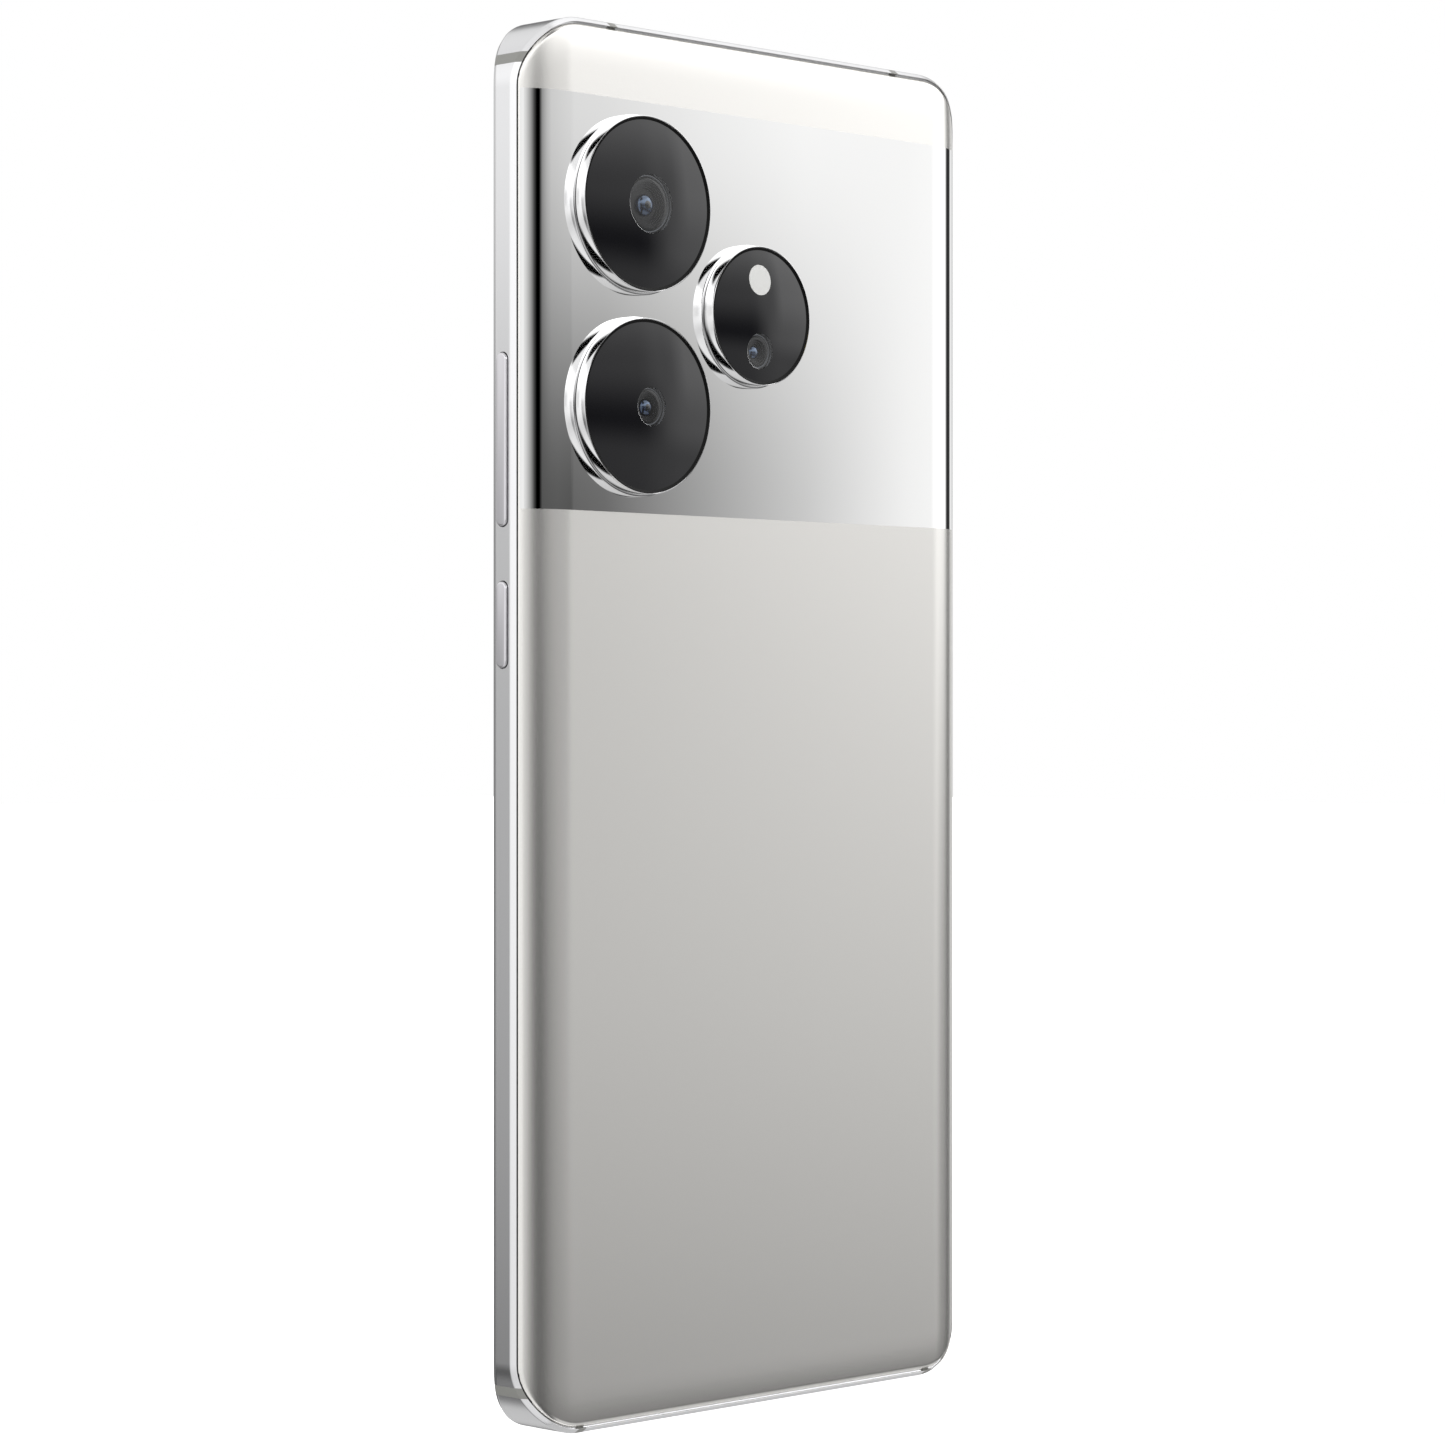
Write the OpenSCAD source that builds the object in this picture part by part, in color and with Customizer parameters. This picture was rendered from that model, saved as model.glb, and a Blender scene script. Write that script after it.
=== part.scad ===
// Slim smartphone with curved glass front and back and a three-ring camera group.
// Each piece is drawn lying on its back, as on a bench: X across, Y up the phone, Z towards
// the screen side. upright() then stands it up: Z is its length, -Y its screen, +X its keys.

/* [Body] */
// Width across the frame
body_w = 75.1; // [74:0.1:77]
// Length from bottom edge to top edge
body_l = 162; // [161:0.5:165]
// Thickness from screen glass to back glass
body_t = 8.6; // [8.6:0.05:9]
// Radius of the frame's four corners
corner_r = 8.5; // [8.2:0.1:9]
// How far the long edges of both glasses curve inwards
curve_w = 6.5; // [6.2:0.05:6.8]
// Radius of that edge curve
curve_r = 9.17; // [9.1:0.01:9.4]
// Height of the flat band along the middle of the frame's sides
side_flat = 2.4; // [2.2:0.1:2.6]

/* [Camera rings] */
// Centre of the upper ring across the back
ring_a_x = 21.6; // [21.4:0.1:21.8]
// Centre of the upper ring above the bottom edge
ring_a_y = 141; // [140.8:0.1:141.2]
// Centre of the lower ring above the bottom edge
ring_b_y = 117.7; // [117.5:0.1:117.9]
// Centre of the small ring across the back
ring_c_x = 2.9; // [2.7:0.1:3.1]
// Centre of the small ring above the bottom edge
ring_c_y = 129.4; // [129.2:0.1:129.6]
// Outer radius of the two large rings
ring_r = 10.4; // [10.3:0.05:10.5]
// Outer radius of the small ring
small_ring_r = 8.5; // [8.4:0.05:8.6]
// How far the rings stand out of the back glass
ring_h = 3.1; // [2.9:0.05:3.3]

/* [Keys] */
// Middle of the volume key above the bottom edge
volume_y = 113.45; // [113:0.05:113.5]
// Length of the volume key
volume_l = 19.7; // [19:0.1:20]
// Middle of the power key above the bottom edge
power_y = 92.4; // [92:0.1:92.8]
// Length of the power key
power_l = 9.8; // [9.5:0.1:10]
// Height of both keys
key_w = 1.7; // [1.6:0.05:1.8]
// How far the keys stand out of the frame
key_proud = 0.35; // [0.3:0.05:0.4]

/* [Power] */
// Length of the battery
battery_l = 73.5; // [70:0.5:73.5]
// Width of the battery
battery_w = 65; // [60:0.5:65]
// Thickness of the battery
battery_t = 4.8; // [4.5:0.1:4.8]

/* [Hidden] */
$fn = 96;

half_w = body_w / 2;
half_t = body_t / 2;
big = 200;

// Glass, glue and frame layers, counted inwards from the outer surface
glass_t = 0.55;
glue_t = 0.1;
ledge_d = glass_t + glue_t;
panel_d = 1.25;
panel_pocket_d = 1.35;
seam = 0.35;
glass_gap = 0.05;
wall = 3.25;
plate_low = 1.8;
plate_high = 2.55;

// Boards, brackets and screws
board_low = 0.3;
board_high = 1;
bracket_low = -2.3;
bracket_high = -1.7;
screw_r = 0.6;
post_r = 1.6;
boss_r = 1.75;
upper_screws = [[-31.3, 153.5], [-31.3, 133], [-31.3, 110.2], [-4, 110.2],
                [31.6, 127.5], [10.8, 148.7], [31.3, 153.2], [-7, 156.4]];
lower_screws = [[-9, 28], [7.6, 28], [7.4, 10], [-8.4, 6], [-24, 27.2]];
upper_floor = 107.6;
upper_top = body_l - wall - 0.3;
lower_top = 29.8;

// Camera stack, counted outwards from the back glass
sleeve_out = -1.1;
tier_h = 1.45;
groove_h = 0.15;
glass_seat = 2.3;
dome_rise = 0.35;
// Each large camera: place across, place up, body size, turret radius, lens radius
main_cam = [ring_a_x, ring_a_y, 15, 7.2, 5];
second_cam = [21.5, ring_b_y, 12.5, 6.2, 4.2];
lens_gap = 0.1;
small_cam = [3.3, 125.2];
flash = [2.9, 133.6];
glass_hole_r = 9.2;
small_hole_r = 7.45;
mirror_low = 105.55;
mirror_high = 153.25;
front_cam = [0, 154.6];

// Sockets and slots in the bottom edge
usb_w = 8.94;
usb_h = 3.16;
usb_wall = 0.3;
usb_depth = 7.4;
tray_x = -19.5;
tray_w = 10.6;
tray_len = 20.9;
tray_t = 1.5;
cap_w = 14;
cap_h = 2.1;
cap_t = 1.2;
eject_x = -10.6;
pivot_x = -15;
pivot_r = 0.5;
lever_y = 24.2;
speaker_x = 20;
mic_x = 8;
top_mic_x = -18;
haptic = [-30.3, 18];

// ---------- outlines and envelopes ----------

// Stands a lying piece up on its bottom edge
module upright() {
    rotate([90, 0, 0]) children();
}

// Rectangle with round corners, centred
module round_rect(w, l, r) {
    square([w - 2 * r, l], center = true);
    square([w, l - 2 * r], center = true);
    for (sx = [-1, 1], sy = [-1, 1])
        translate([sx * (w / 2 - r), sy * (l / 2 - r)]) circle(r);
}

// Pill shape, its length along Y
module pill(w, l) {
    round_rect(w, l, w / 2 - 0.001);
}

// Plan of the phone, set in by d all round
module plan(d) {
    translate([0, body_l / 2]) round_rect(body_w - 2 * d, body_l - 2 * d, corner_r - d);
}

// Block with the phone's plan, set in by d
module plan_block(d, low = -big, high = big) {
    translate([0, 0, low]) linear_extrude(high - low) plan(d);
}

// Half of the cross-section between the glass curves, set in by d
module half_section(d) {
    intersection() {
        translate([-half_w, -half_t]) square([body_w, half_t]);
        union() {
            translate([-half_w + curve_w, -half_t + d]) square([body_w - 2 * curve_w, half_t]);
            for (side = [-1, 1])
                translate([side * (half_w - curve_w), curve_r - half_t]) circle(curve_r - d, $fn = 180);
        }
    }
}

// Cross-section of the phone, set in by d
module section(d) {
    half_section(d);
    mirror([0, 1]) half_section(d);
}

// The cross-section drawn out along the phone
module section_bar(d) {
    translate([0, body_l, 0]) rotate([90, 0, 0]) linear_extrude(body_l) section(d);
}

// The layer between two depths under the outer surface; side 1 is the screen's, -1 the back's
module skin(side, outer_d, inner_d, inset) {
    intersection() {
        plan_block(inset, side > 0 ? 0 : -half_t, side > 0 ? half_t : 0);
        difference() {
            section_bar(outer_d);
            section_bar(inner_d);
        }
    }
}

// Outer shape of the frame seen along the phone: the glass curves, bevelled down to the flat band
module frame_edges() {
    edge = half_w - seam;
    side_seam = half_t - curve_r + sqrt(pow(curve_r, 2) - pow(curve_w - seam, 2));
    translate([0, body_l, 0]) rotate([90, 0, 0]) linear_extrude(body_l) intersection() {
        section(0);
        polygon([[-half_w, -side_flat / 2], [-edge, -side_seam], [-edge, -half_t],
                 [edge, -half_t], [edge, -side_seam], [half_w, -side_flat / 2],
                 [half_w, side_flat / 2], [edge, side_seam], [edge, half_t],
                 [-edge, half_t], [-edge, side_seam], [-half_w, side_flat / 2]]);
    }
}

// Outer shape of the frame seen from the side, bevelled at both ends
module end_edges() {
    translate([-half_w, 0, 0]) rotate([90, 0, 90]) linear_extrude(body_w)
        polygon([[0, -half_t + 0.9], [seam, -half_t + 0.15], [seam + 0.6, -half_t],
                 [body_l - seam - 0.6, -half_t], [body_l - seam, -half_t + 0.15],
                 [body_l, -half_t + 0.9], [body_l, half_t - 0.9],
                 [body_l - seam, half_t - 0.15], [body_l - seam - 0.6, half_t],
                 [seam + 0.6, half_t], [seam, half_t - 0.15], [0, half_t - 0.9]]);
}

// A block from one corner to the other
module block(low, high) {
    translate(low) cube(high - low);
}

// A cylinder along Z between two heights
module post(at, r, low, high) {
    translate([at[0], at[1], low]) cylinder(r = r, h = high - low);
}

// A cylinder along Y between two places
module pin_y(x, z, r, low, high) {
    translate([x, low, z]) rotate([-90, 0, 0]) cylinder(r = r, h = high - low);
}

// Puts a stack drawn outwards from the back glass in its place
module on_back(at) {
    translate([at[0], at[1], -half_t]) rotate([180, 0, 0]) children();
}

// ---------- frame ----------

// The slices where plastic parts the metal frame into antennas
module break_slices() {
    for (y = [5.2, body_l - 5.2], side = [-1, 1])
        translate([side * half_w, y, 0]) cube([4.6, 1.2, big], center = true);
    for (x = [-24, 24])
        translate([x, body_l, 0]) cube([1.2, 3, big], center = true);
    for (x = [-30, 29])
        translate([x, 0, 0]) cube([1.2, 3, big], center = true);
}

// Frame with no slots: bevelled rim, both glass ledges and the hollow for the works
module frame_blank() {
    difference() {
        intersection() {
            plan_block(0, -half_t, half_t);
            frame_edges();
            end_edges();
        }
        difference() {
            plan_block(seam - glass_gap);
            section_bar(ledge_d);
        }
        plan_block(wall, -big, plate_low);
        plan_block(wall, plate_high, big);
        difference() {
            plan_block(2.4, 0, big);
            section_bar(panel_pocket_d);
        }
    }
}

// Slot and inner pocket for one key
module key_opening(y, length) {
    translate([0, y, 0]) rotate([90, 0, 90]) {
        translate([0, 0, half_w - 2]) linear_extrude(4) rotate(90) pill(key_w + 0.24, length + 0.24);
        translate([0, 0, half_w - wall - 1]) linear_extrude(wall - 0.2)
            square([length + 2.2, key_w + 1.4], center = true);
    }
}

// Everything cut through the bottom rim
module bottom_openings() {
    translate([0, -1, 0]) rotate([-90, 0, 0]) linear_extrude(wall + 2)
        round_rect(usb_w + 0.16, usb_h + 0.16, usb_h / 2 - 0.02);
    translate([tray_x, 0, 0]) {
        translate([0, -1, 0]) rotate([-90, 0, 0]) linear_extrude(2.3)
            round_rect(cap_w + 0.24, cap_h + 0.24, cap_h / 2);
        block([-tray_w / 2 - 0.25, -1, -tray_t / 2 - 0.25], [tray_w / 2 + 0.25, wall + 1, tray_t / 2 + 0.25]);
    }
    pin_y(eject_x, 0, 0.42, -1, 1.8);
    pin_y(eject_x, 0, 0.7, 1.7, wall + 1);
    for (i = [0:5]) pin_y(speaker_x - 5.5 + i * 2.2, 0, 0.65, -1, wall + 1);
    block([speaker_x - 7.4, 2.2, -1.2], [speaker_x + 7.4, wall + 1, 1.2]);
    pin_y(mic_x, 0, 0.5, -1, wall + 1);
}

// The sound slot over the earpiece, just inside the top rim
module earpiece_slot() {
    block([-6, body_l - 0.95, 1], [6, body_l - 0.4, big]);
}

module mid_frame() {
    color("silver") upright() {
        difference() {
            frame_blank();
            break_slices();
            key_opening(volume_y, volume_l);
            key_opening(power_y, power_l);
            bottom_openings();
            earpiece_slot();
            block([-6, upper_top - 0.5, 0.4], [16, body_l - 0.4, 1.4]);
            pin_y(top_mic_x, -0.3, 0.5, body_l - wall - 1, body_l + 1);
            block([-5.6, 33.4, 0], [5.6, 42.6, big]);
            block([-14, 150.6, 0], [-9, 153.8, big]);
            block([-4.4, 24, 0], [4.4, 25.6, big]);
            post(front_cam, 3.5, 0, big);
        }
        for (y = [30.4, 105.9])
            block([-half_w + wall, y, -2.4], [33, y + 1.1, plate_low]);
        for (at = concat(upper_screws, lower_screws))
            difference() {
                post(at, boss_r, board_high, plate_low);
                post(at, screw_r + 0.05, 0, plate_low - 0.05);
            }
        post([pivot_x, lever_y], pivot_r, -0.6, plate_low);
    }
}

module antenna_breaks() {
    color("gainsboro") upright() intersection() {
        frame_blank();
        break_slices();
    }
}

// ---------- screen ----------

module display_glass() {
    color("black") upright() difference() {
        skin(1, 0, glass_t, seam);
        earpiece_slot();
    }
}

module display_adhesive() {
    color("dimgray") upright() difference() {
        skin(1, glass_t, ledge_d, seam + 0.15);
        plan_block(2.3);
        earpiece_slot();
    }
}

module display_panel() {
    color("midnightblue") upright() difference() {
        skin(1, glass_t + 0.01, panel_d, 2.5);
        post(front_cam, 2.3, 0, big);
    }
}

module display_flex() {
    color("orange") upright() {
        block([-14, 5, 2.65], [14, 24.5, 2.8]);
        block([-4, 24.5, 1.35], [4, 24.65, 2.8]);
        block([-4, 21, 1.35], [4, 24.5, 1.5]);
        block([-4.5, 20.8, board_high + 0.02], [4.5, 23, 1.35]);
    }
}

module fingerprint_sensor() {
    color("darkslategray") upright() block([-5, 34, 1.85], [5, 42, 2.95]);
}

module proximity_sensor() {
    color("black") upright() block([-13, 151, board_high + 0.02], [-10, 153.4, 2.75]);
}

// ---------- back ----------

// The three round openings in the back glass
module camera_holes() {
    post([ring_a_x, ring_a_y], glass_hole_r, -big, 0);
    post([ring_a_x, ring_b_y], glass_hole_r, -big, 0);
    post([ring_c_x, ring_c_y], small_hole_r, -big, 0);
}

module back_cover() {
    color("whitesmoke") upright() difference() {
        skin(-1, 0, glass_t, seam);
        camera_holes();
    }
}

module mirror_panel() {
    color("lightgray") upright() intersection() {
        block([-big, mirror_low, -big], [big, mirror_high, 0]);
        difference() {
            skin(-1, glass_t + 0.005, glass_t + 0.065, 2.8);
            camera_holes();
        }
    }
}

module back_adhesive() {
    color("dimgray") upright() difference() {
        skin(-1, glass_t, ledge_d, seam + 0.15);
        plan_block(2.7);
    }
}

module graphite_sheet() {
    color("dimgray") upright() block([-28, 34, -3.64], [28, 104, -3.56]);
}

// ---------- rear cameras ----------

// Two-step polished ring; base_r is its widest radius, bore_r its inner sleeve
module camera_ring(base_r, bore_r) {
    top_r = base_r - 0.25;
    neck_r = base_r - 0.6;
    rotate_extrude($fn = 160) polygon([
        [bore_r, sleeve_out], [bore_r + 0.8, sleeve_out], [bore_r + 0.8, 0.02],
        [base_r - 0.1, 0.02], [base_r, 0.15], [base_r, tier_h - 0.15], [base_r - 0.15, tier_h],
        [neck_r, tier_h], [neck_r, tier_h + groove_h], [top_r - 0.1, tier_h + groove_h],
        [top_r, tier_h + groove_h + 0.1], [top_r, ring_h - 0.1], [top_r - 0.1, ring_h],
        [top_r - 0.22, ring_h], [top_r - 0.22, glass_seat], [bore_r + 0.3, glass_seat],
        [bore_r + 0.3, 0.3], [bore_r, 0.3]]);
}

// Domed cover glass that sits inside a ring
module lens_cover(base_r) {
    r = base_r - 0.25 - 0.26;
    dome_r = (pow(r, 2) + pow(dome_rise, 2)) / (2 * dome_rise);
    rim = ring_h - 0.1;
    rotate_extrude($fn = 160) intersection() {
        translate([0, glass_seat + 0.01]) square([r, rim + dome_rise - glass_seat]);
        translate([0, rim + dome_rise - dome_r]) circle(dome_r, $fn = 720);
    }
}

// Square camera body with a round turret and a bore for its lens
module camera_body(size, turret_r, lens_r) {
    difference() {
        union() {
            translate([0, 0, -3.7]) cube([size, size, 4.8], center = true);
            translate([0, 0, -1.4]) cylinder(r = turret_r, h = 2.3);
        }
        translate([0, 0, -4.6]) cylinder(r = lens_r + lens_gap, h = 8);
    }
}

// Lens barrel with its dished mouth
module lens_barrel(r) {
    rotate_extrude() polygon([
        [0, -4.2], [r, -4.2], [r, 0.55], [r - 0.2, 0.75], [r - 0.6, 0.75], [r * 0.55, 0.1],
        [0, 0.1]]);
}

module camera_ring_a() {
    color("silver") upright() on_back([ring_a_x, ring_a_y]) camera_ring(ring_r, 8.2);
}

module camera_ring_b() {
    color("silver") upright() on_back([ring_a_x, ring_b_y]) camera_ring(ring_r, 8.2);
}

module camera_ring_c() {
    color("silver") upright() on_back([ring_c_x, ring_c_y]) camera_ring(small_ring_r, 6.5);
}

module ring_gasket(base_r) {
    rotate_extrude($fn = 160) translate([base_r - 0.59, tier_h + 0.01]) square([0.28, groove_h - 0.02]);
}

module ring_gaskets() {
    color("black") upright() {
        on_back([ring_a_x, ring_a_y]) ring_gasket(ring_r);
        on_back([ring_a_x, ring_b_y]) ring_gasket(ring_r);
        on_back([ring_c_x, ring_c_y]) ring_gasket(small_ring_r);
    }
}

module lens_cover_a() {
    color("black") upright() on_back([ring_a_x, ring_a_y]) lens_cover(ring_r);
}

module lens_cover_b() {
    color("black") upright() on_back([ring_a_x, ring_b_y]) lens_cover(ring_r);
}

module lens_cover_c() {
    color("black") upright() on_back([ring_c_x, ring_c_y]) lens_cover(small_ring_r);
}

module main_camera() {
    color("dimgray") upright() on_back(main_cam) camera_body(main_cam[2], main_cam[3], main_cam[4]);
}

module main_lens() {
    color("black") upright() on_back(main_cam) lens_barrel(main_cam[4]);
}

module second_camera() {
    color("dimgray") upright() on_back(second_cam)
        camera_body(second_cam[2], second_cam[3], second_cam[4]);
}

module second_lens() {
    color("black") upright() on_back(second_cam) lens_barrel(second_cam[4]);
}

module small_camera() {
    color("black") upright() on_back(small_cam) {
        translate([-3.2, -3.2, -4.55]) cube([6.4, 6.4, 3]);
        translate([0, 0, -1.55]) rotate_extrude()
            polygon([[0, 0], [2.1, 0], [2.1, 3.1], [1.9, 3.3], [1.4, 3.3], [0.9, 2.9], [0, 2.9]]);
    }
}

module flash_led() {
    color("gold") upright() on_back(flash) {
        translate([-1.7, -1.7, -4.55]) cube([3.4, 3.4, 4.9]);
        translate([-0.9, -0.9, 0.35]) cube([1.8, 1.8, 0.5]);
    }
}

module flash_lens() {
    color("ivory") upright() on_back(flash) rotate_extrude() difference() {
        translate([0, 0.9]) square([2.15, 1.2]);
        circle(1.3);
    }
}

// Steel plate that ties both large cameras together behind the board
module camera_bracket() {
    color("silver") upright() difference() {
        block([13, 110.6, -3.2], [30.2, 149.4, -0.9]);
        block([13.2, 110.8, -3], [30, 149.2, 0]);
        post(main_cam, main_cam[3] + 0.15, -big, big);
        post(second_cam, second_cam[3] + 0.15, -big, big);
        block([ring_a_x - 7.6, ring_a_y - 7.6, -3.12], [ring_a_x + 7.6, ring_a_y + 7.6, 0]);
        block([second_cam[0] - 6.35, ring_b_y - 6.35, -3.12], [second_cam[0] + 6.35, ring_b_y + 6.35, 0]);
    }
}

module front_camera() {
    color("black") upright() {
        block([-3, front_cam[1] - 3, -1.5], [3, front_cam[1] + 3, 1.6]);
        post(front_cam, 2.9, 1.6, 2.6);
        post(front_cam, 1.9, 2.6, half_t - glass_t - 0.1);
    }
}

// ---------- keys ----------

key_root = 35.9;
flange_in = 35.2;

// Key: pill face outside, wider flange inside, nubs that press the switches
module key(y, length, nubs) {
    translate([0, y, 0]) rotate([90, 0, 90]) {
        translate([0, 0, key_root]) linear_extrude(half_w + key_proud - key_root) rotate(90) pill(key_w, length);
        translate([0, 0, flange_in]) linear_extrude(key_root - flange_in + 0.02) square([length + 1.4, key_w + 1], center = true);
        for (at = nubs) translate([at, 0, flange_in - 0.25]) cylinder(r = 0.5, h = 0.3);
    }
}

module volume_key() {
    color("silver") upright() key(volume_y, volume_l, [-6.5, 6.5]);
}

module power_key() {
    color("silver") upright() key(power_y, power_l, [0]);
}

module key_flex() {
    color("orange") upright() {
        block([33.7, 84, -0.9], [33.85, 133, 0.9]);
        block([31.5, 129.5, 0.1], [33.7, 133, 0.25]);
    }
}

module key_switches() {
    color("silver") upright()
        for (y = [volume_y - 6.5, volume_y + 6.5, power_y]) {
            block([33.86, y - 1.3, -0.8], [34.35, y + 1.3, 0.8]);
            translate([34.35, y, 0]) rotate([0, 90, 0]) cylinder(r = 0.6, h = 0.24);
        }
}

// ---------- tray for the network cards ----------

module sim_tray() {
    color("silver") upright() translate([tray_x, 0, 0]) {
        translate([0, 0.02, 0]) rotate([-90, 0, 0]) linear_extrude(cap_t)
            round_rect(cap_w, cap_h, cap_h / 2 - 0.01);
        difference() {
            block([-tray_w / 2, cap_t, -tray_t / 2], [tray_w / 2, cap_t + tray_len, tray_t / 2]);
            for (side = [0, 1])
                mirror([0, 0, side])
                    block([-4.5, cap_t + 4.6, 0.12], [4.5, cap_t + tray_len - 1, big]);
        }
    }
}

// Rubber seal round the tray, behind its cap
module sim_tray_seal() {
    color("black") upright() translate([tray_x, 0, 0]) difference() {
        block([-tray_w / 2 - 0.2, 1.9, -tray_t / 2 - 0.2], [tray_w / 2 + 0.2, 2.9, tray_t / 2 + 0.2]);
        block([-tray_w / 2, 0, -tray_t / 2], [tray_w / 2, 5, tray_t / 2]);
    }
}

module sim_reader() {
    color("silver") upright() translate([tray_x, 0, 0]) difference() {
        block([-7.2, 3.5, -1.35], [5.95, 22, 1.35]);
        block([-tray_w / 2 - 0.25, 0, -1.1], [tray_w / 2 + 0.25, 30, 1.1]);
    }
}

module sim_eject_rod() {
    color("silver") upright() pin_y(eject_x, 0, 0.5, 1.9, lever_y - 0.85);
}

module sim_eject_lever() {
    color("silver") upright() difference() {
        union() {
            block([tray_x - 0.6, lever_y - 0.6, -0.35], [eject_x + 0.5, lever_y + 0.6, 0.35]);
            post([pivot_x, lever_y], 1.3, -0.35, 0.35);
        }
        post([pivot_x, lever_y], pivot_r + 0.05, -big, big);
    }
}

// ---------- bottom assembly ----------

module usb_shell() {
    color("silver") upright() translate([0, 0.3, 0]) rotate([-90, 0, 0]) {
        linear_extrude(usb_depth) difference() {
            round_rect(usb_w, usb_h, usb_h / 2 - 0.02);
            round_rect(usb_w - 2 * usb_wall, usb_h - 2 * usb_wall, usb_h / 2 - usb_wall - 0.02);
        }
        translate([0, 0, usb_depth]) linear_extrude(0.3) round_rect(usb_w, usb_h, usb_h / 2 - 0.02);
    }
}

module usb_tongue() {
    color("black") upright() {
        block([-3.35, 0.9, -0.35], [3.35, 6, 0.35]);
        translate([0, 6, 0]) rotate([-90, 0, 0]) linear_extrude(1.65)
            round_rect(usb_w - 2 * usb_wall - 0.04, usb_h - 2 * usb_wall - 0.04, usb_h / 2 - usb_wall - 0.05);
    }
}

module usb_seal() {
    color("black") upright() translate([0, wall + 0.05, 0]) rotate([-90, 0, 0]) linear_extrude(1)
        difference() {
            round_rect(usb_w + 1.7, 3.5, usb_h / 2);
            round_rect(usb_w + 0.04, usb_h + 0.04, usb_h / 2);
        }
}

module sub_board() {
    color("darkgreen") upright() difference() {
        union() {
            block([-9.3, 8.2, board_low], [9.6, lower_top, board_high]);
            block([6, 3.6, board_low], [9.6, 8.2, board_high]);
            block([-9.3, 3.6, board_low], [-6, 8.2, board_high]);
        }
        for (at = lower_screws) post(at, screw_r + 0.2, -big, big);
    }
}

module speaker_box() {
    color("black") upright() difference() {
        intersection() {
            block([10.3, 3.8, -2.9], [33.2, 29.4, 1.55]);
            plan_block(wall + 0.2);
        }
        block([12, 9, -1.6], [30, 23, 2]);
        block([speaker_x - 7, 3, -1], [speaker_x + 7, 9.5, 1]);
    }
}

module speaker_driver() {
    color("dimgray") upright() block([12.2, 9.6, -1.5], [29.8, 22.8, 1.5]);
}

module speaker_mesh() {
    color("dimgray") upright() block([speaker_x - 7.3, 2.4, -1.1], [speaker_x + 7.3, 2.55, 1.1]);
}

module bottom_microphone() {
    color("gold") upright() block([6.3, 3.6, -0.75], [9.5, 6.6, board_low - 0.02]);
}

module haptic_case() {
    color("silver") upright() difference() {
        block([haptic[0] - 3.1, haptic[1] - 9.6, -1.9], [haptic[0] + 3.1, haptic[1] + 9.6, 1.6]);
        block([haptic[0] - 2.85, haptic[1] - 9.35, -1.65], [haptic[0] + 2.85, haptic[1] + 9.35, 1.35]);
    }
}

module haptic_mass() {
    color("dimgray") upright()
        block([haptic[0] - 2.5, haptic[1] - 8.6, -1.35], [haptic[0] + 2.5, haptic[1] + 8.6, 1.05]);
}

module lower_bracket() {
    color("dimgray") upright() difference() {
        union() {
            block([-26, 4.5, bracket_low], [9.8, lower_top, bracket_high]);
            for (at = lower_screws) post(at, post_r, bracket_high, at[0] < -20 ? board_high : board_low);
        }
        for (at = lower_screws) post(at, screw_r + 0.15, -big, big);
    }
}

// ---------- top assembly ----------

// Openings that the cameras need in the board and in its bracket
module camera_clearance(gap) {
    for (cam = [main_cam, second_cam])
        translate([cam[0], cam[1], 0]) cube([cam[2] + 2 * gap, cam[2] + 2 * gap, big], center = true);
}

module main_board() {
    color("darkgreen") upright() difference() {
        intersection() {
            plan_block(wall + 0.4, board_low, board_high);
            block([-big, upper_floor, -big], [33.4, upper_top, big]);
        }
        camera_clearance(0.3);
        block([-3.3, 151.3, -big], [3.3, big, big]);
        block([4.6, 150.2, -big], [18.4, big, big]);
        for (at = upper_screws) post(at, screw_r + 0.2, -big, big);
    }
}

module processor() {
    color("dimgray") upright() block([-26, 114.5, -0.85], [-12, 128.5, board_low - 0.01]);
}

// Folded lid over one group of chips
module can(low, high) {
    difference() {
        block([low[0], low[1], -1.35], [high[0], high[1], board_low - 0.01]);
        block([low[0] + 0.15, low[1] + 0.15, -1.2], [high[0] - 0.15, high[1] - 0.15, 2]);
    }
}

module shield_cans() {
    color("silver") upright() {
        can([-29.2, 112.5], [-7, 131]);
        can([-29.2, 135], [-9.3, 154]);
    }
}

module vapour_chamber() {
    color("peru") upright() block([-29, 112.6, board_high + 0.1], [-6, 131, plate_low - 0.1]);
}

module top_microphone() {
    color("gold") upright() block([top_mic_x - 1.7, 155.4, -0.8], [top_mic_x + 1.7, 158, board_low - 0.02]);
}

module earpiece() {
    color("dimgray") upright() block([5, 150.7, -1.5], [18, 158.4, 1.6]);
}

module earpiece_mesh() {
    color("dimgray") upright() block([-5.9, body_l - 0.92, 3.7], [5.9, body_l - 0.43, 3.82]);
}

module upper_bracket() {
    color("dimgray") upright() difference() {
        union() {
            intersection() {
                plan_block(wall + 0.4, bracket_low, bracket_high);
                block([-big, upper_floor, -big], [33.4, upper_top, big]);
            }
            for (at = upper_screws) post(at, post_r, bracket_high, board_low);
        }
        block([12.8, 110.4, -big], [30.4, 149.6, big]);
        translate([small_cam[0], small_cam[1], 0]) cube([7.2, 7.2, big], center = true);
        translate([flash[0], flash[1], 0]) cube([5, 5, big], center = true);
        for (at = upper_screws) post(at, screw_r + 0.15, -big, big);
    }
}

module screws() {
    color("darkgray") upright()
        for (at = concat(upper_screws, lower_screws)) difference() {
            union() {
                post(at, screw_r, bracket_low, plate_low - 0.1);
                post(at, 1.25, bracket_low - 0.5, bracket_low);
            }
            translate([at[0], at[1], bracket_low - 0.6]) cylinder(r = 0.5, h = 0.4, $fn = 6);
        }
}

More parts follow.
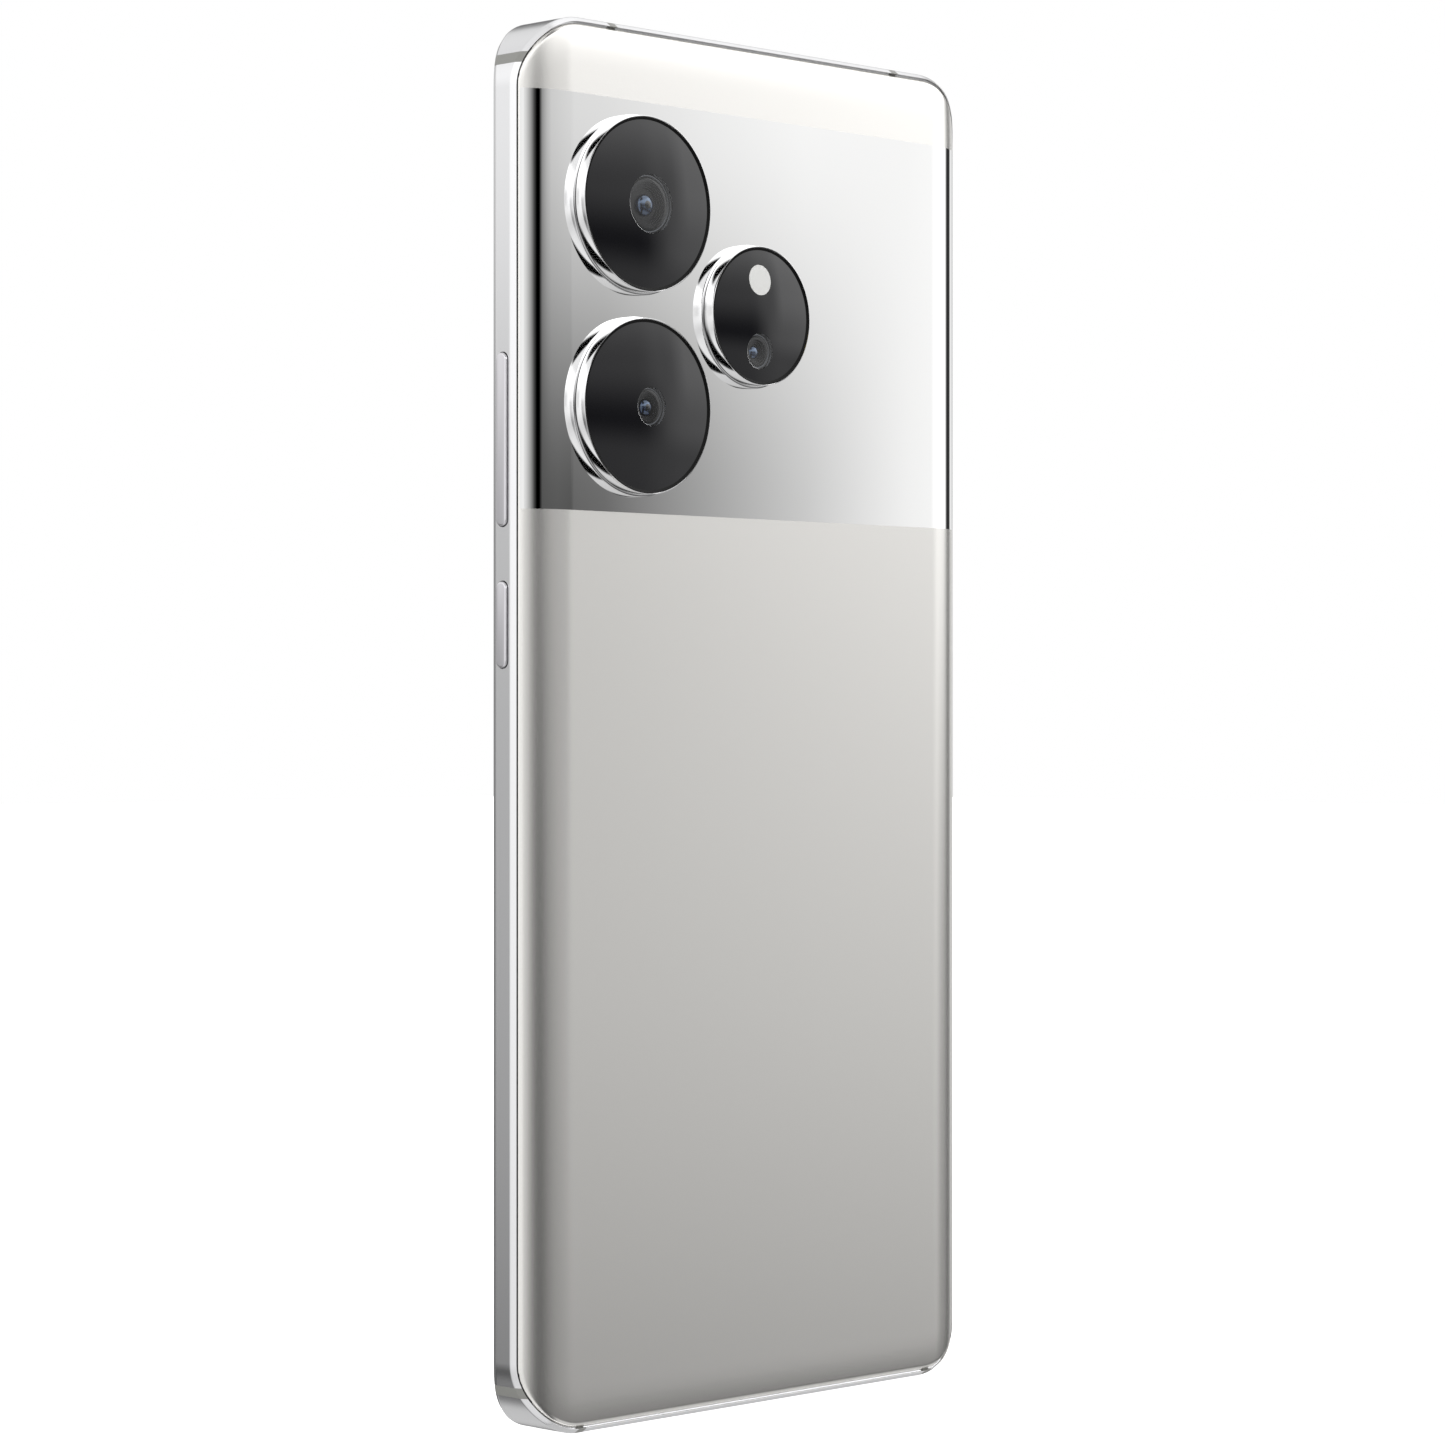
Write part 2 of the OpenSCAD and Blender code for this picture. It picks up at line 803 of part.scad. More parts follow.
// ---------- battery and ribbon ----------

battery_back = plate_low - 0.2 - battery_t;

module battery() {
    color("gray") upright()
        translate([-0.55, 68.75, battery_back]) linear_extrude(battery_t)
            round_rect(battery_w, battery_l, 1.5);
}

module battery_adhesive() {
    color("white") upright()
        for (x = [-20, 20]) block([x - 5, 36, plate_low - 0.18], [x + 5, 102, plate_low - 0.02]);
}

module main_flex() {
    color("orange") upright() {
        flex_z = battery_back - 0.16;
        block([2, 30.05, flex_z - 0.12], [11, 107.35, flex_z]);
        block([2, 107.2, flex_z], [11, 107.35, 0.05]);
        block([2, 107.35, -0.1], [11, 112, 0.05]);
        block([2.5, 109.6, 0.05], [10.5, 112, board_low - 0.01]);
        block([2, 30.05, flex_z], [5.6, 30.2, 0.05]);
        block([2, 24, -0.1], [5.6, 30.05, 0.05]);
        block([2.2, 24, 0.05], [5.4, 27, board_low - 0.01]);
    }
}

// ---------- one line for each piece ----------

mid_frame();
antenna_breaks();
display_glass();
display_adhesive();
display_panel();
display_flex();
fingerprint_sensor();
proximity_sensor();
back_cover();
mirror_panel();
back_adhesive();
graphite_sheet();
camera_ring_a();
camera_ring_b();
camera_ring_c();
ring_gaskets();
lens_cover_a();
lens_cover_b();
lens_cover_c();
main_camera();
main_lens();
second_camera();
second_lens();
small_camera();
flash_led();
flash_lens();
camera_bracket();
front_camera();
volume_key();
power_key();
key_flex();
key_switches();
sim_tray();
sim_tray_seal();
sim_reader();
sim_eject_rod();
sim_eject_lever();
usb_shell();
usb_tongue();
usb_seal();
sub_board();
speaker_box();
speaker_driver();
speaker_mesh();
bottom_microphone();
top_microphone();
earpiece();
earpiece_mesh();
main_board();
processor();
shield_cans();
vapour_chamber();
battery();
battery_adhesive();
main_flex();
haptic_case();
haptic_mass();
upper_bracket();
lower_bracket();
screws();
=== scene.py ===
"""Slim phone with curved glass front and back and three camera rings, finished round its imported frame."""
import math

import bmesh
import bpy
from mathutils import Matrix, Vector


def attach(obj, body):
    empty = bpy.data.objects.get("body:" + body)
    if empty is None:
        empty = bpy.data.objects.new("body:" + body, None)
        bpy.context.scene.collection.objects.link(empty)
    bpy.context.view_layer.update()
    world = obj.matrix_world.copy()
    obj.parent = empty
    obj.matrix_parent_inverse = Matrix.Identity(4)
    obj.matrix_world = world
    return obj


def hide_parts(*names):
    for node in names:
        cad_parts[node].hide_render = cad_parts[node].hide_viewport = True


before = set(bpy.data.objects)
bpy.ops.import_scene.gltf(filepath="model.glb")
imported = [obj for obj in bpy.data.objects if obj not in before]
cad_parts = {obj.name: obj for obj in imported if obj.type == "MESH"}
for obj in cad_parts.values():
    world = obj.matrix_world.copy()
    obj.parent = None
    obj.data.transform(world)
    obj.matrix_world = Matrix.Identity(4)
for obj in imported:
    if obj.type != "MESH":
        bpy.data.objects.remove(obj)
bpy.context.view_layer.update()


# ---------- camera, light and floor ----------
# The phone stands upright on its bottom edge on a plain white floor. The studio's light is drawn all
# round it, ring above ring from floor to ceiling, with dark gaps that show in the glass and the metal.

scene = bpy.context.scene
scene.view_settings.view_transform = "Standard"

camera = bpy.data.objects.new("camera", bpy.data.cameras.new("camera"))
scene.collection.objects.link(camera)
camera.location = (0.3498, 0.3448, 0.0813)
camera.rotation_euler = (math.radians(90), 0, math.radians(134.76))
camera.data.lens = 101.9
camera.data.sensor_width = 36
camera.data.clip_start = 0.01
scene.camera = camera

# Dark gaps, and the brightness all round the phone at seven heights, lowest first. Each stop is a
# bearing in degrees, from +Y towards +X, with the brightness there.
LEFT_GAP = [(8, 0.0), (13, 0.0), (16.4, 0.06), (22.4, 0.37), (28.4, 0.67)]
WIDE_LEFT_GAP = [(-10, 0.7), (-4, 0.05), (0, 0.0), (26, 0.0), (34, 0.9)]
RIGHT_GAP = [(-101, 0.9), (-96, 0.03), (-84, 0.03), (-79, 1.0)]
FLOOR_RING = [
    (-180, 0.6), (-120, 0.6), (-75, 0.5), (-44, 0.6), *WIDE_LEFT_GAP, (90, 0.8), (134, 0.35), (147, 0.22),
    (162, 0.12), (180, 0.6)]
LOW_RING = [
    (-180, 0.10), (-101, 0.3), (-96, 0.05), (-58, 0.06), (-48, 0.06), (-44, 0.03), (-20, 0.03), (0, 0.01),
    (5, 0.0), (22, 0.0), (30, 0.35), (36, 0.75), (90, 0.72), (134, 0.07), (180, 0.07)]
SHOULDER_RING = [
    (-180, 0.25), (-136, 0.15), (-120, 0.5), (-101, 0.9), (-96, 0.05), (-84, 0.05), (-78, 0.3), (-64, 0.3),
    (-54, 0.72), (-51, 0.75), (-46, 0.64), (-43, 0.52), (-20, 0.42), (-5, 0.26), (4, 0.06), *LEFT_GAP,
    (36, 0.9), (90, 1.05), (134, 0.47), (180, 0.25)]
MIDDLE_RING = [
    (-180, 0.3), (-136, 0.25), (-120, 0.6), *RIGHT_GAP, (-74, 1.3), (-51, 1.2), (-48.2, 0.98), (-46.4, 0.6),
    (-44.6, 0.30), (-43.2, 0.09), (-20, 0.10), (4, 0.09), *LEFT_GAP, (34, 0.9), (56, 0.8), (74, 1.1),
    (90, 1.1), (134, 0.55), (180, 0.30)]
HIGH_RING = [
    (-180, 0.75), (-136, 0.3), (-120, 0.6), *RIGHT_GAP, (-74, 1.7), (-52, 1.8), (-49.5, 1.1), (-48.5, 0.95),
    (-46, 0.97), (-43, 0.70), (-25, 0.66), (-10, 0.62), (-3, 0.5), (4, 0.3), *LEFT_GAP, (34, 0.9),
    (56, 0.8), (74, 1.15), (90, 1.15), (134, 1.0), (180, 0.75)]
TOP_RING = [
    (-180, 0.9), (-152, 0.3), (-136, 0.08), (-122, 0.6), *RIGHT_GAP, (-74, 2.2), (-52, 2.6), (-44, 2.1),
    (-25, 1.95), (-10, 1.8), (10, 1.4), (34, 1.4), (90, 1.3), (134, 1.1), (180, 0.9)]
CEILING_RING = [
    (-180, 0.85), (-150, 0.8), (-100, 1.2), (-46, 1.4), (-16, 1.2), *WIDE_LEFT_GAP, (90, 0.9), (130, 0.75),
    (180, 0.85)]
# Where one ring gives way to the next above it: the angles above the horizon, and the ring above
BLENDS = [
    (-32, -17, LOW_RING), (-17, -2, SHOULDER_RING), (-1, 2.8, MIDDLE_RING), (2.8, 9, HIGH_RING),
    (9, 20, TOP_RING), (30, 38, CEILING_RING)]

world = bpy.data.worlds.new("studio")
scene.world = world
world.use_nodes = True
sky = world.node_tree
sky.nodes.clear()


def sky_math(operation, *values):
    """One maths step in the studio light; a value is a number or another step's output."""
    step = sky.nodes.new("ShaderNodeMath")
    step.operation = operation
    for socket, value in zip(step.inputs, values):
        if isinstance(value, (int, float)):
            socket.default_value = value
        else:
            sky.links.new(value, socket)
    return step.outputs[0]


def ring_of_light(bearing, stops):
    """Brightness all round the horizon at one height."""
    ramp = sky.nodes.new("ShaderNodeValToRGB")
    sky.links.new(bearing, ramp.inputs["Fac"])
    elements = ramp.color_ramp.elements
    for end, (angle, glow) in zip(elements, (stops[0], stops[-1])):
        end.color = (glow, glow, glow, 1)
    for angle, glow in stops[1:-1]:
        elements.new((angle + 180) / 360).color = (glow, glow, glow, 1)
    return ramp.outputs["Color"]


def between_rings(height, low, high, lower, upper):
    """Blends from one ring of light to the next above it."""
    share = sky.nodes.new("ShaderNodeMapRange")
    share.interpolation_type = "SMOOTHSTEP"
    share.inputs["From Min"].default_value = math.sin(math.radians(low))
    share.inputs["From Max"].default_value = math.sin(math.radians(high))
    sky.links.new(height, share.inputs["Value"])
    blend = sky.nodes.new("ShaderNodeMix")
    blend.data_type = "RGBA"
    sky.links.new(share.outputs[0], blend.inputs["Factor"])
    sky.links.new(lower, blend.inputs["A"])
    sky.links.new(upper, blend.inputs["B"])
    return blend.outputs["Result"]


where = sky.nodes.new("ShaderNodeTexCoord")
axes = sky.nodes.new("ShaderNodeSeparateXYZ")
sky.links.new(where.outputs["Generated"], axes.inputs[0])
turn = sky_math("ARCTAN2", axes.outputs["X"], axes.outputs["Y"])
bearing = sky_math("MULTIPLY_ADD", turn, 1 / (2 * math.pi), 0.5)
height = axes.outputs["Z"]
whole_sky = ring_of_light(bearing, FLOOR_RING)
for low, high, stops in BLENDS:
    whole_sky = between_rings(height, low, high, whole_sky, ring_of_light(bearing, stops))
light = sky.nodes.new("ShaderNodeBackground")
sky.links.new(whole_sky, light.inputs["Color"])
white = sky.nodes.new("ShaderNodeBackground")
white.inputs["Color"].default_value = (1, 1, 1, 1)
seen = sky.nodes.new("ShaderNodeLightPath")
either = sky.nodes.new("ShaderNodeMixShader")
sky.links.new(seen.outputs["Is Camera Ray"], either.inputs["Fac"])
sky.links.new(light.outputs[0], either.inputs[1])
sky.links.new(white.outputs[0], either.inputs[2])
sky_out = sky.nodes.new("ShaderNodeOutputWorld")
sky.links.new(either.outputs[0], sky_out.inputs["Surface"])

floor_paint = bpy.data.materials.new("studio_floor")
floor_paint.use_nodes = True
floor_glow = floor_paint.node_tree.nodes["Principled BSDF"]
floor_glow.inputs["Base Color"].default_value = (1, 1, 1, 1)
floor_glow.inputs["Emission Color"].default_value = (1, 1, 1, 1)
floor_glow.inputs["Emission Strength"].default_value = 1
bm = bmesh.new()
bmesh.ops.create_grid(bm, x_segments=1, y_segments=1, size=3)
bmesh.ops.translate(bm, verts=bm.verts, vec=(0, 0, -0.0002))
floor_mesh = bpy.data.meshes.new("floor")
bm.to_mesh(floor_mesh)
bm.free()
floor_mesh.materials.append(floor_paint)
floor = bpy.data.objects.new("floor", floor_mesh)
scene.collection.objects.link(floor)
floor.visible_diffuse = False
floor.visible_glossy = False
floor.visible_transmission = False
floor.visible_shadow = False


# ---------- side frame ----------
# One aluminium rim, milled and then anodised satin, with a flat band along its middle and a bevel up
# to each glass. The plate that carries the screen and the battery is cut from the same block.

MM = 0.001
HALF_W = 37.55
LENGTH = 162.0
HALF_T = 4.3
CORNER = 8.5
CURVE_START = 31.05
CURVE_RADIUS = 9.17
SEAM_SIDE = 0.35
SEAM_END = 0.55
BEVEL_DROP = 0.73
END_DROOP = 0.15
LEDGE_WIDTH = 3.25
LEDGE_DEPTH = 0.66
PLATE_BACK = -1.8
PLATE_FRONT = -2.55


def glass_height(x):
    """How far the glass stands from the middle of the phone, at a place across its width."""
    over = max(0.0, abs(x) - CURVE_START)
    return HALF_T - CURVE_RADIUS + math.sqrt(CURVE_RADIUS ** 2 - over ** 2)


def outward(x, z):
    """The rim's nearest core point and the direction out from it, for a place on the outline."""
    core = Vector((max(-HALF_W + CORNER, min(HALF_W - CORNER, x)), max(CORNER, min(LENGTH - CORNER, z))))
    return core, (Vector((x, z)) - core).normalized()


def seam_width(out):
    """How far the glass stays back from the outline: a little more at the ends than along the sides."""
    return SEAM_SIDE + (SEAM_END - SEAM_SIDE) * out.y ** 2


def grained(name, colour, roughness, metallic=0.0, *, mottle, grain, bump=0.0, **sockets):
    """A finish with a fine grain, its size in millimetres, that varies the tone and the gloss a little."""
    material = bpy.data.materials.new(name)
    material.use_nodes = True
    tree = material.node_tree
    shader = tree.nodes["Principled BSDF"]
    shader.inputs["Metallic"].default_value = metallic
    for socket, value in sockets.items():
        shader.inputs[socket.replace("_", " ")].default_value = value
    place = tree.nodes.new("ShaderNodeTexCoord")
    noise = tree.nodes.new("ShaderNodeTexNoise")
    noise.inputs["Scale"].default_value = 1 / (grain * MM)
    noise.inputs["Detail"].default_value = 3
    tree.links.new(place.outputs["Object"], noise.inputs["Vector"])
    tone = tree.nodes.new("ShaderNodeMix")
    tone.data_type = "RGBA"
    tone.inputs["A"].default_value = (*[channel * (1 - mottle) for channel in colour], 1)
    tone.inputs["B"].default_value = (*[min(1, channel * (1 + mottle)) for channel in colour], 1)
    tree.links.new(noise.outputs[0], tone.inputs["Factor"])
    tree.links.new(tone.outputs["Result"], shader.inputs["Base Color"])
    gloss = tree.nodes.new("ShaderNodeMapRange")
    gloss.inputs["To Min"].default_value = roughness * 0.9
    gloss.inputs["To Max"].default_value = roughness * 1.1
    tree.links.new(noise.outputs[0], gloss.inputs["Value"])
    tree.links.new(gloss.outputs[0], shader.inputs["Roughness"])
    if bump:
        relief = tree.nodes.new("ShaderNodeBump")
        relief.inputs["Strength"].default_value = bump
        relief.inputs["Distance"].default_value = 0.01 * MM
        tree.links.new(noise.outputs[0], relief.inputs["Height"])
        tree.links.new(relief.outputs[0], shader.inputs["Normal"])
    return material


def made(bm, name, material, smooth_angle=35):
    """Turns a finished bmesh, drawn in millimetres, into a piece in metres."""
    bmesh.ops.scale(bm, vec=(MM, MM, MM), verts=bm.verts)
    mesh = bpy.data.meshes.new(name)
    bm.to_mesh(mesh)
    bm.free()
    piece = bpy.data.objects.new(name, mesh)
    scene.collection.objects.link(piece)
    mesh.materials.append(material)
    soften(mesh, smooth_angle)
    return piece


def soften(mesh, smooth_angle):
    """Smooth shading, with the sharp corners kept sharp."""
    mesh.shade_smooth()
    mesh.set_sharp_from_angle(angle=math.radians(smooth_angle))


def carve(piece, tool, operation="DIFFERENCE", smooth_angle=35):
    """Cuts a tool's shape out of a piece, or keeps only what both fill, and removes the tool."""
    step = piece.modifiers.new("cut", "BOOLEAN")
    step.operation = operation
    step.solver = "EXACT"
    step.object = tool
    bpy.context.view_layer.update()
    shaped = bpy.data.meshes.new_from_object(piece.evaluated_get(bpy.context.evaluated_depsgraph_get()))
    piece.modifiers.clear()
    piece.data = shaped
    bpy.data.objects.remove(tool)
    tidied = bmesh.new()
    tidied.from_mesh(shaped)
    bmesh.ops.remove_doubles(tidied, verts=tidied.verts, dist=0.0005 * MM)
    bmesh.ops.dissolve_degenerate(tidied, edges=tidied.edges, dist=0.0002 * MM)
    tidied.to_mesh(shaped)
    tidied.free()
    soften(shaped, smooth_angle)
    return piece


def belongs(piece, body, slot, *nodes):
    """Fixes a piece to its body and hides the plain solids it stands for; its slot is not used."""
    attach(piece, body)
    if nodes:
        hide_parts(*nodes)


def outline(bm):
    """The phone's plan as one face: a rectangle whose corners are rounded."""
    bmesh.ops.create_grid(bm, x_segments=1, y_segments=1, size=0.5)
    bmesh.ops.scale(bm, vec=(2 * HALF_W, LENGTH, 1), verts=bm.verts)
    bmesh.ops.rotate(bm, cent=(0, 0, 0), matrix=Matrix.Rotation(math.radians(90), 3, "X"), verts=bm.verts)
    bmesh.ops.translate(bm, vec=(0, 0, LENGTH / 2), verts=bm.verts)
    bmesh.ops.bevel(bm, geom=bm.verts[:], offset=CORNER, segments=24, profile=0.5, affect="VERTICES",
                    material=-1)


def draw_rim():
    """The rim and its plate as one closed shell, pulled out ring by ring from the plan's outline."""
    bm = bmesh.new()
    outline(bm)
    face = bm.faces[:][0]
    ring = list(face.edges)
    bmesh.ops.delete(bm, geom=[face], context="FACES_ONLY")
    # Each step: what it shapes, inset from the outline, side (1 back, -1 screen), and depth below the
    # glass, or for the plate its own place through the phone's thickness
    lip = [("lip", 0.045, 0.4), ("lip", 0.04, 0.08), ("lip", 0.025, 0.02), ("lip", 0.0, 0.0),
           ("bevel", 0.12, 0), ("bevel", 0.5, 0), ("bevel", 0.86, 0), ("bevel", 0.95, 0.015),
           ("bevel", 1.0, 0.06), ("bevel", 1.0, 0.16)]
    steps = [("plate", LEDGE_WIDTH, 1, PLATE_BACK), ("ledge", LEDGE_WIDTH, 1, LEDGE_DEPTH),
             ("ledge", 0.0, 1, LEDGE_DEPTH)]
    steps += [(kind, amount, 1, drop) for kind, amount, drop in lip]
    steps += [(kind, amount, -1, drop) for kind, amount, drop in reversed(lip)]
    steps += [("ledge", 0.0, -1, LEDGE_DEPTH), ("ledge", LEDGE_WIDTH, -1, LEDGE_DEPTH),
              ("plate", LEDGE_WIDTH, -1, PLATE_FRONT)]
    origins = {}

    def place(vert, step):
        kind, amount, side, drop = step
        core, out = outward(vert[0], vert[2])
        seam = seam_width(out)
        inset = max(seam, amount)
        if kind == "lip":
            inset = seam + amount
        if kind == "bevel":
            inset = seam * (1 - amount)
        spot = core + out * (CORNER - inset)
        lip_spot = core + out * (CORNER - seam)
        lip_height = glass_height(lip_spot.x) - END_DROOP * out.y ** 2
        if kind == "plate":
            return Vector((spot.x, drop, spot.y))
        if kind == "ledge":
            return Vector((spot.x, side * (glass_height(spot.x) - drop), spot.y))
        if kind == "bevel":
            return Vector((spot.x, side * (lip_height - BEVEL_DROP * amount - drop), spot.y))
        return Vector((spot.x, side * (lip_height - drop), spot.y))

    for vert in bm.verts:
        origins[vert] = vert.co.copy()
    for vert in bm.verts:
        vert.co = place(origins[vert], steps[0])
    bmesh.ops.edgenet_fill(bm, edges=ring)
    for step in steps[1:]:
        earlier = set(origins)
        pulled = bmesh.ops.extrude_edge_only(bm, edges=ring)
        ring = [part for part in pulled["geom"] if isinstance(part, bmesh.types.BMEdge)]
        for vert in [part for part in pulled["geom"] if isinstance(part, bmesh.types.BMVert)]:
            others = [edge.other_vert(vert) for edge in vert.link_edges]
            old = next(other for other in others if other in earlier)
            origins[vert] = origins[old]
            vert.co = place(origins[vert], step)
    bmesh.ops.edgenet_fill(bm, edges=ring)
    bmesh.ops.recalc_face_normals(bm, faces=bm.faces)
    return bm


def rounded_bar(bm, size, radius, depth, edge=0.0, edge_segments=3, corner_segments=10):
    """A bar with round corners in its X-Y outline, rising from Z 0, its top edge softened."""
    start = set(bm.verts)
    bmesh.ops.create_grid(bm, x_segments=1, y_segments=1, size=0.5)
    corners = [vert for vert in bm.verts if vert not in start]
    bmesh.ops.scale(bm, vec=(size[0], size[1], 1), verts=corners)
    bmesh.ops.bevel(bm, geom=corners, offset=radius, segments=corner_segments, profile=0.5,
                    affect="VERTICES", material=-1)
    base = next(face for face in bm.faces if not start.intersection(face.verts))
    pulled = bmesh.ops.extrude_face_region(bm, geom=[base], use_keep_orig=True)
    top = [part for part in pulled["geom"] if isinstance(part, bmesh.types.BMVert)]
    bmesh.ops.translate(bm, vec=(0, 0, depth), verts=top)
    if edge:
        cap = next(part for part in pulled["geom"] if isinstance(part, bmesh.types.BMFace))
        bmesh.ops.bevel(bm, geom=cap.edges[:], offset=edge, segments=edge_segments, profile=0.5,
                        affect="EDGES", material=-1)
    fresh = [vert for vert in bm.verts if vert not in start]
    bmesh.ops.recalc_face_normals(bm, faces=bm.faces)
    return fresh


def turned_bar(bm, verts, axis, at):
    """Lays a bar so that its depth runs along an axis, and moves it into place."""
    turns = {"+x": Matrix(((0, 0, 1), (1, 0, 0), (0, 1, 0))),
             "-z": Matrix(((1, 0, 0), (0, -1, 0), (0, 0, -1)))}
    bmesh.ops.transform(bm, matrix=turns[axis].to_4x4(), verts=verts)
    bmesh.ops.translate(bm, vec=at, verts=verts)


def slab(bm, low, high):
    """A block between two corners, used only as a cutting tool."""
    block = bmesh.ops.create_cube(bm, size=1)["verts"]
    bmesh.ops.scale(bm, vec=[high[i] - low[i] for i in range(3)], verts=block)
    bmesh.ops.translate(bm, vec=[(high[i] + low[i]) / 2 for i in range(3)], verts=block)


# Each key's height up the side and its length
KEYS = {"volume": (113.45, 19.7), "power": (92.4, 9.8)}
KEY_WIDTH = 1.7
KEY_GAP = 0.12
POCKET_IN = 34.7
POCKET_OUT = 36.25
POCKET_MARGIN = (0.7, 1.1)
BREAK_WIDTH = 1.2
SIDE_BREAKS = [5.2, LENGTH - 5.2]
TOP_BREAKS = [-24, 24]
BOTTOM_BREAKS = [-30, 29]
USB_OPENING = (9.1, 3.32)
TRAY_X = -19.5
TRAY_CAP = (14, 2.1)
SPEAKER_HOLES = [14.5 + 2.2 * i for i in range(6)]
# Round holes as (x, height of the hole's top, radius): sound, then microphone and eject pin
BOTTOM_HOLES = [(x, 2.6, 0.65) for x in SPEAKER_HOLES] + [(8, 2.6, 0.5), (-10.6, 1.8, 0.42)]
TOP_MICROPHONE = (-18, 0.3, 0.5)
EARPIECE_HALF = 6

frame_metal = grained("satin_anodised_metal", (0.86, 0.86, 0.87), 0.2, 1.0, mottle=0.02, grain=0.12,
                      bump=0.15)

rim = made(draw_rim(), "side_frame", frame_metal)

tools = bmesh.new()
for z, length in KEYS.values():
    slot = (KEY_WIDTH + 2 * KEY_GAP, length + 2 * KEY_GAP)
    bar = rounded_bar(tools, slot, slot[0] / 2 - 0.01, 3.2)
    turned_bar(tools, bar, "+x", (HALF_W - 2.2, 0, z))
slot_tool = made(tools, "slot_tool", frame_metal)
tools = bmesh.new()
for z, length in KEYS.values():
    across = KEY_WIDTH / 2 + POCKET_MARGIN[0]
    along = length / 2 + POCKET_MARGIN[1]
    slab(tools, (POCKET_IN, -across, z - along), (POCKET_OUT, across, z + along))
pocket_tool = made(tools, "pocket_tool", frame_metal)
tools = bmesh.new()
bar = rounded_bar(tools, USB_OPENING, USB_OPENING[1] / 2 - 0.02, 6)
turned_bar(tools, bar, "-z", (0, 0, 5))
bar = rounded_bar(tools, (TRAY_CAP[0] + 0.24, TRAY_CAP[1] + 0.24), TRAY_CAP[1] / 2 + 0.1, 2.3)
turned_bar(tools, bar, "-z", (TRAY_X, 0, 1.3))
for x, z, radius in BOTTOM_HOLES:
    hole = bmesh.ops.create_cone(tools, cap_ends=True, segments=32, radius1=radius, radius2=radius, depth=3)
    bmesh.ops.translate(tools, vec=(x, 0, z - 1.5), verts=hole["verts"])
x, y, radius = TOP_MICROPHONE
hole = bmesh.ops.create_cone(tools, cap_ends=True, segments=32, radius1=radius, radius2=radius, depth=3)
bmesh.ops.translate(tools, vec=(x, y, LENGTH - 1), verts=hole["verts"])
slab(tools, (-EARPIECE_HALF, -6, LENGTH - 0.95), (EARPIECE_HALF, -1, LENGTH - 0.4))
opening_tool = made(tools, "opening_tool", frame_metal)


# ---------- antenna breaks ----------
# Plastic moulded into slits in the rim at eight places, and then milled flush with the metal, so
# that the rim's lengths work as antennas.

BREAK_DEPTH_SIDE = 2.3
BREAK_DEPTH_END = 1.5
break_plastic = grained("antenna_plastic", (0.33, 0.33, 0.31), 0.42, mottle=0.08, grain=0.1, bump=0.2)


def break_tool(name, grow=0.0):
    """The slabs where plastic parts the rim."""
    bm = bmesh.new()
    half = BREAK_WIDTH / 2 + grow
    for z in SIDE_BREAKS:
        for side in (-1, 1):
            low_x, high_x = sorted((side * (HALF_W - BREAK_DEPTH_SIDE), side * (HALF_W + 2)))
            slab(bm, (low_x, -8, z - half), (high_x, 8, z + half))
    for x in TOP_BREAKS:
        slab(bm, (x - half, -8, LENGTH - BREAK_DEPTH_END), (x + half, 8, LENGTH + 2))
    for x in BOTTOM_BREAKS:
        slab(bm, (x - half, -8, -2), (x + half, 8, BREAK_DEPTH_END))
    return made(bm, name, break_plastic)


breaks = made(draw_rim(), "antenna_break_fillings", break_plastic)
carve(breaks, break_tool("break_tool_inner"), "INTERSECT")
carve(rim, break_tool("break_tool_outer", 0.01))
carve(rim, slot_tool)
carve(rim, pocket_tool)
carve(rim, opening_tool)
belongs(rim, "phone", "frame_metal", "mid_frame")
belongs(breaks, "phone", "antenna_plastic", "antenna_breaks")


# ---------- back glass and mirror window ----------
# One sheet of glass, bent along both long edges and etched satin outside. Across the cameras the
# etching stops, and a silvered film behind the clear glass makes a mirror. Black glue holds the
# sheet to the rim's ledge.

GLASS_GAP = 0.15
GLASS_THICKNESS = 0.55
MIRROR_LOW = 105.55
MIRROR_HIGH = 153.25
MIRROR_SIDE = 36.9
EDGE_ROUND_SIDE = 0.28
EDGE_ROUND_END = 0.6
DROOP_REACH = 3.4
EDGE_ROWS = [0, 0.03, 0.08, 0.15, 0.24, 0.34, 0.46, 0.6, 0.8, 1.2, 2.0, 3.2, 4.6, 6.2]


def sheet_columns(half):
    """Places across the sheet, closer together where it bends; one is the mirror's side edge."""
    steps = 26
    start = HALF_W - CORNER
    bend = [start + (half - start) * math.sin(math.radians(90 * k / steps)) for k in range(steps + 1)]
    side = sorted([x for x in bend if abs(x - MIRROR_SIDE) > 0.12] + [MIRROR_SIDE])
    return [-x for x in reversed(side)] + [-15, 0, 15] + side


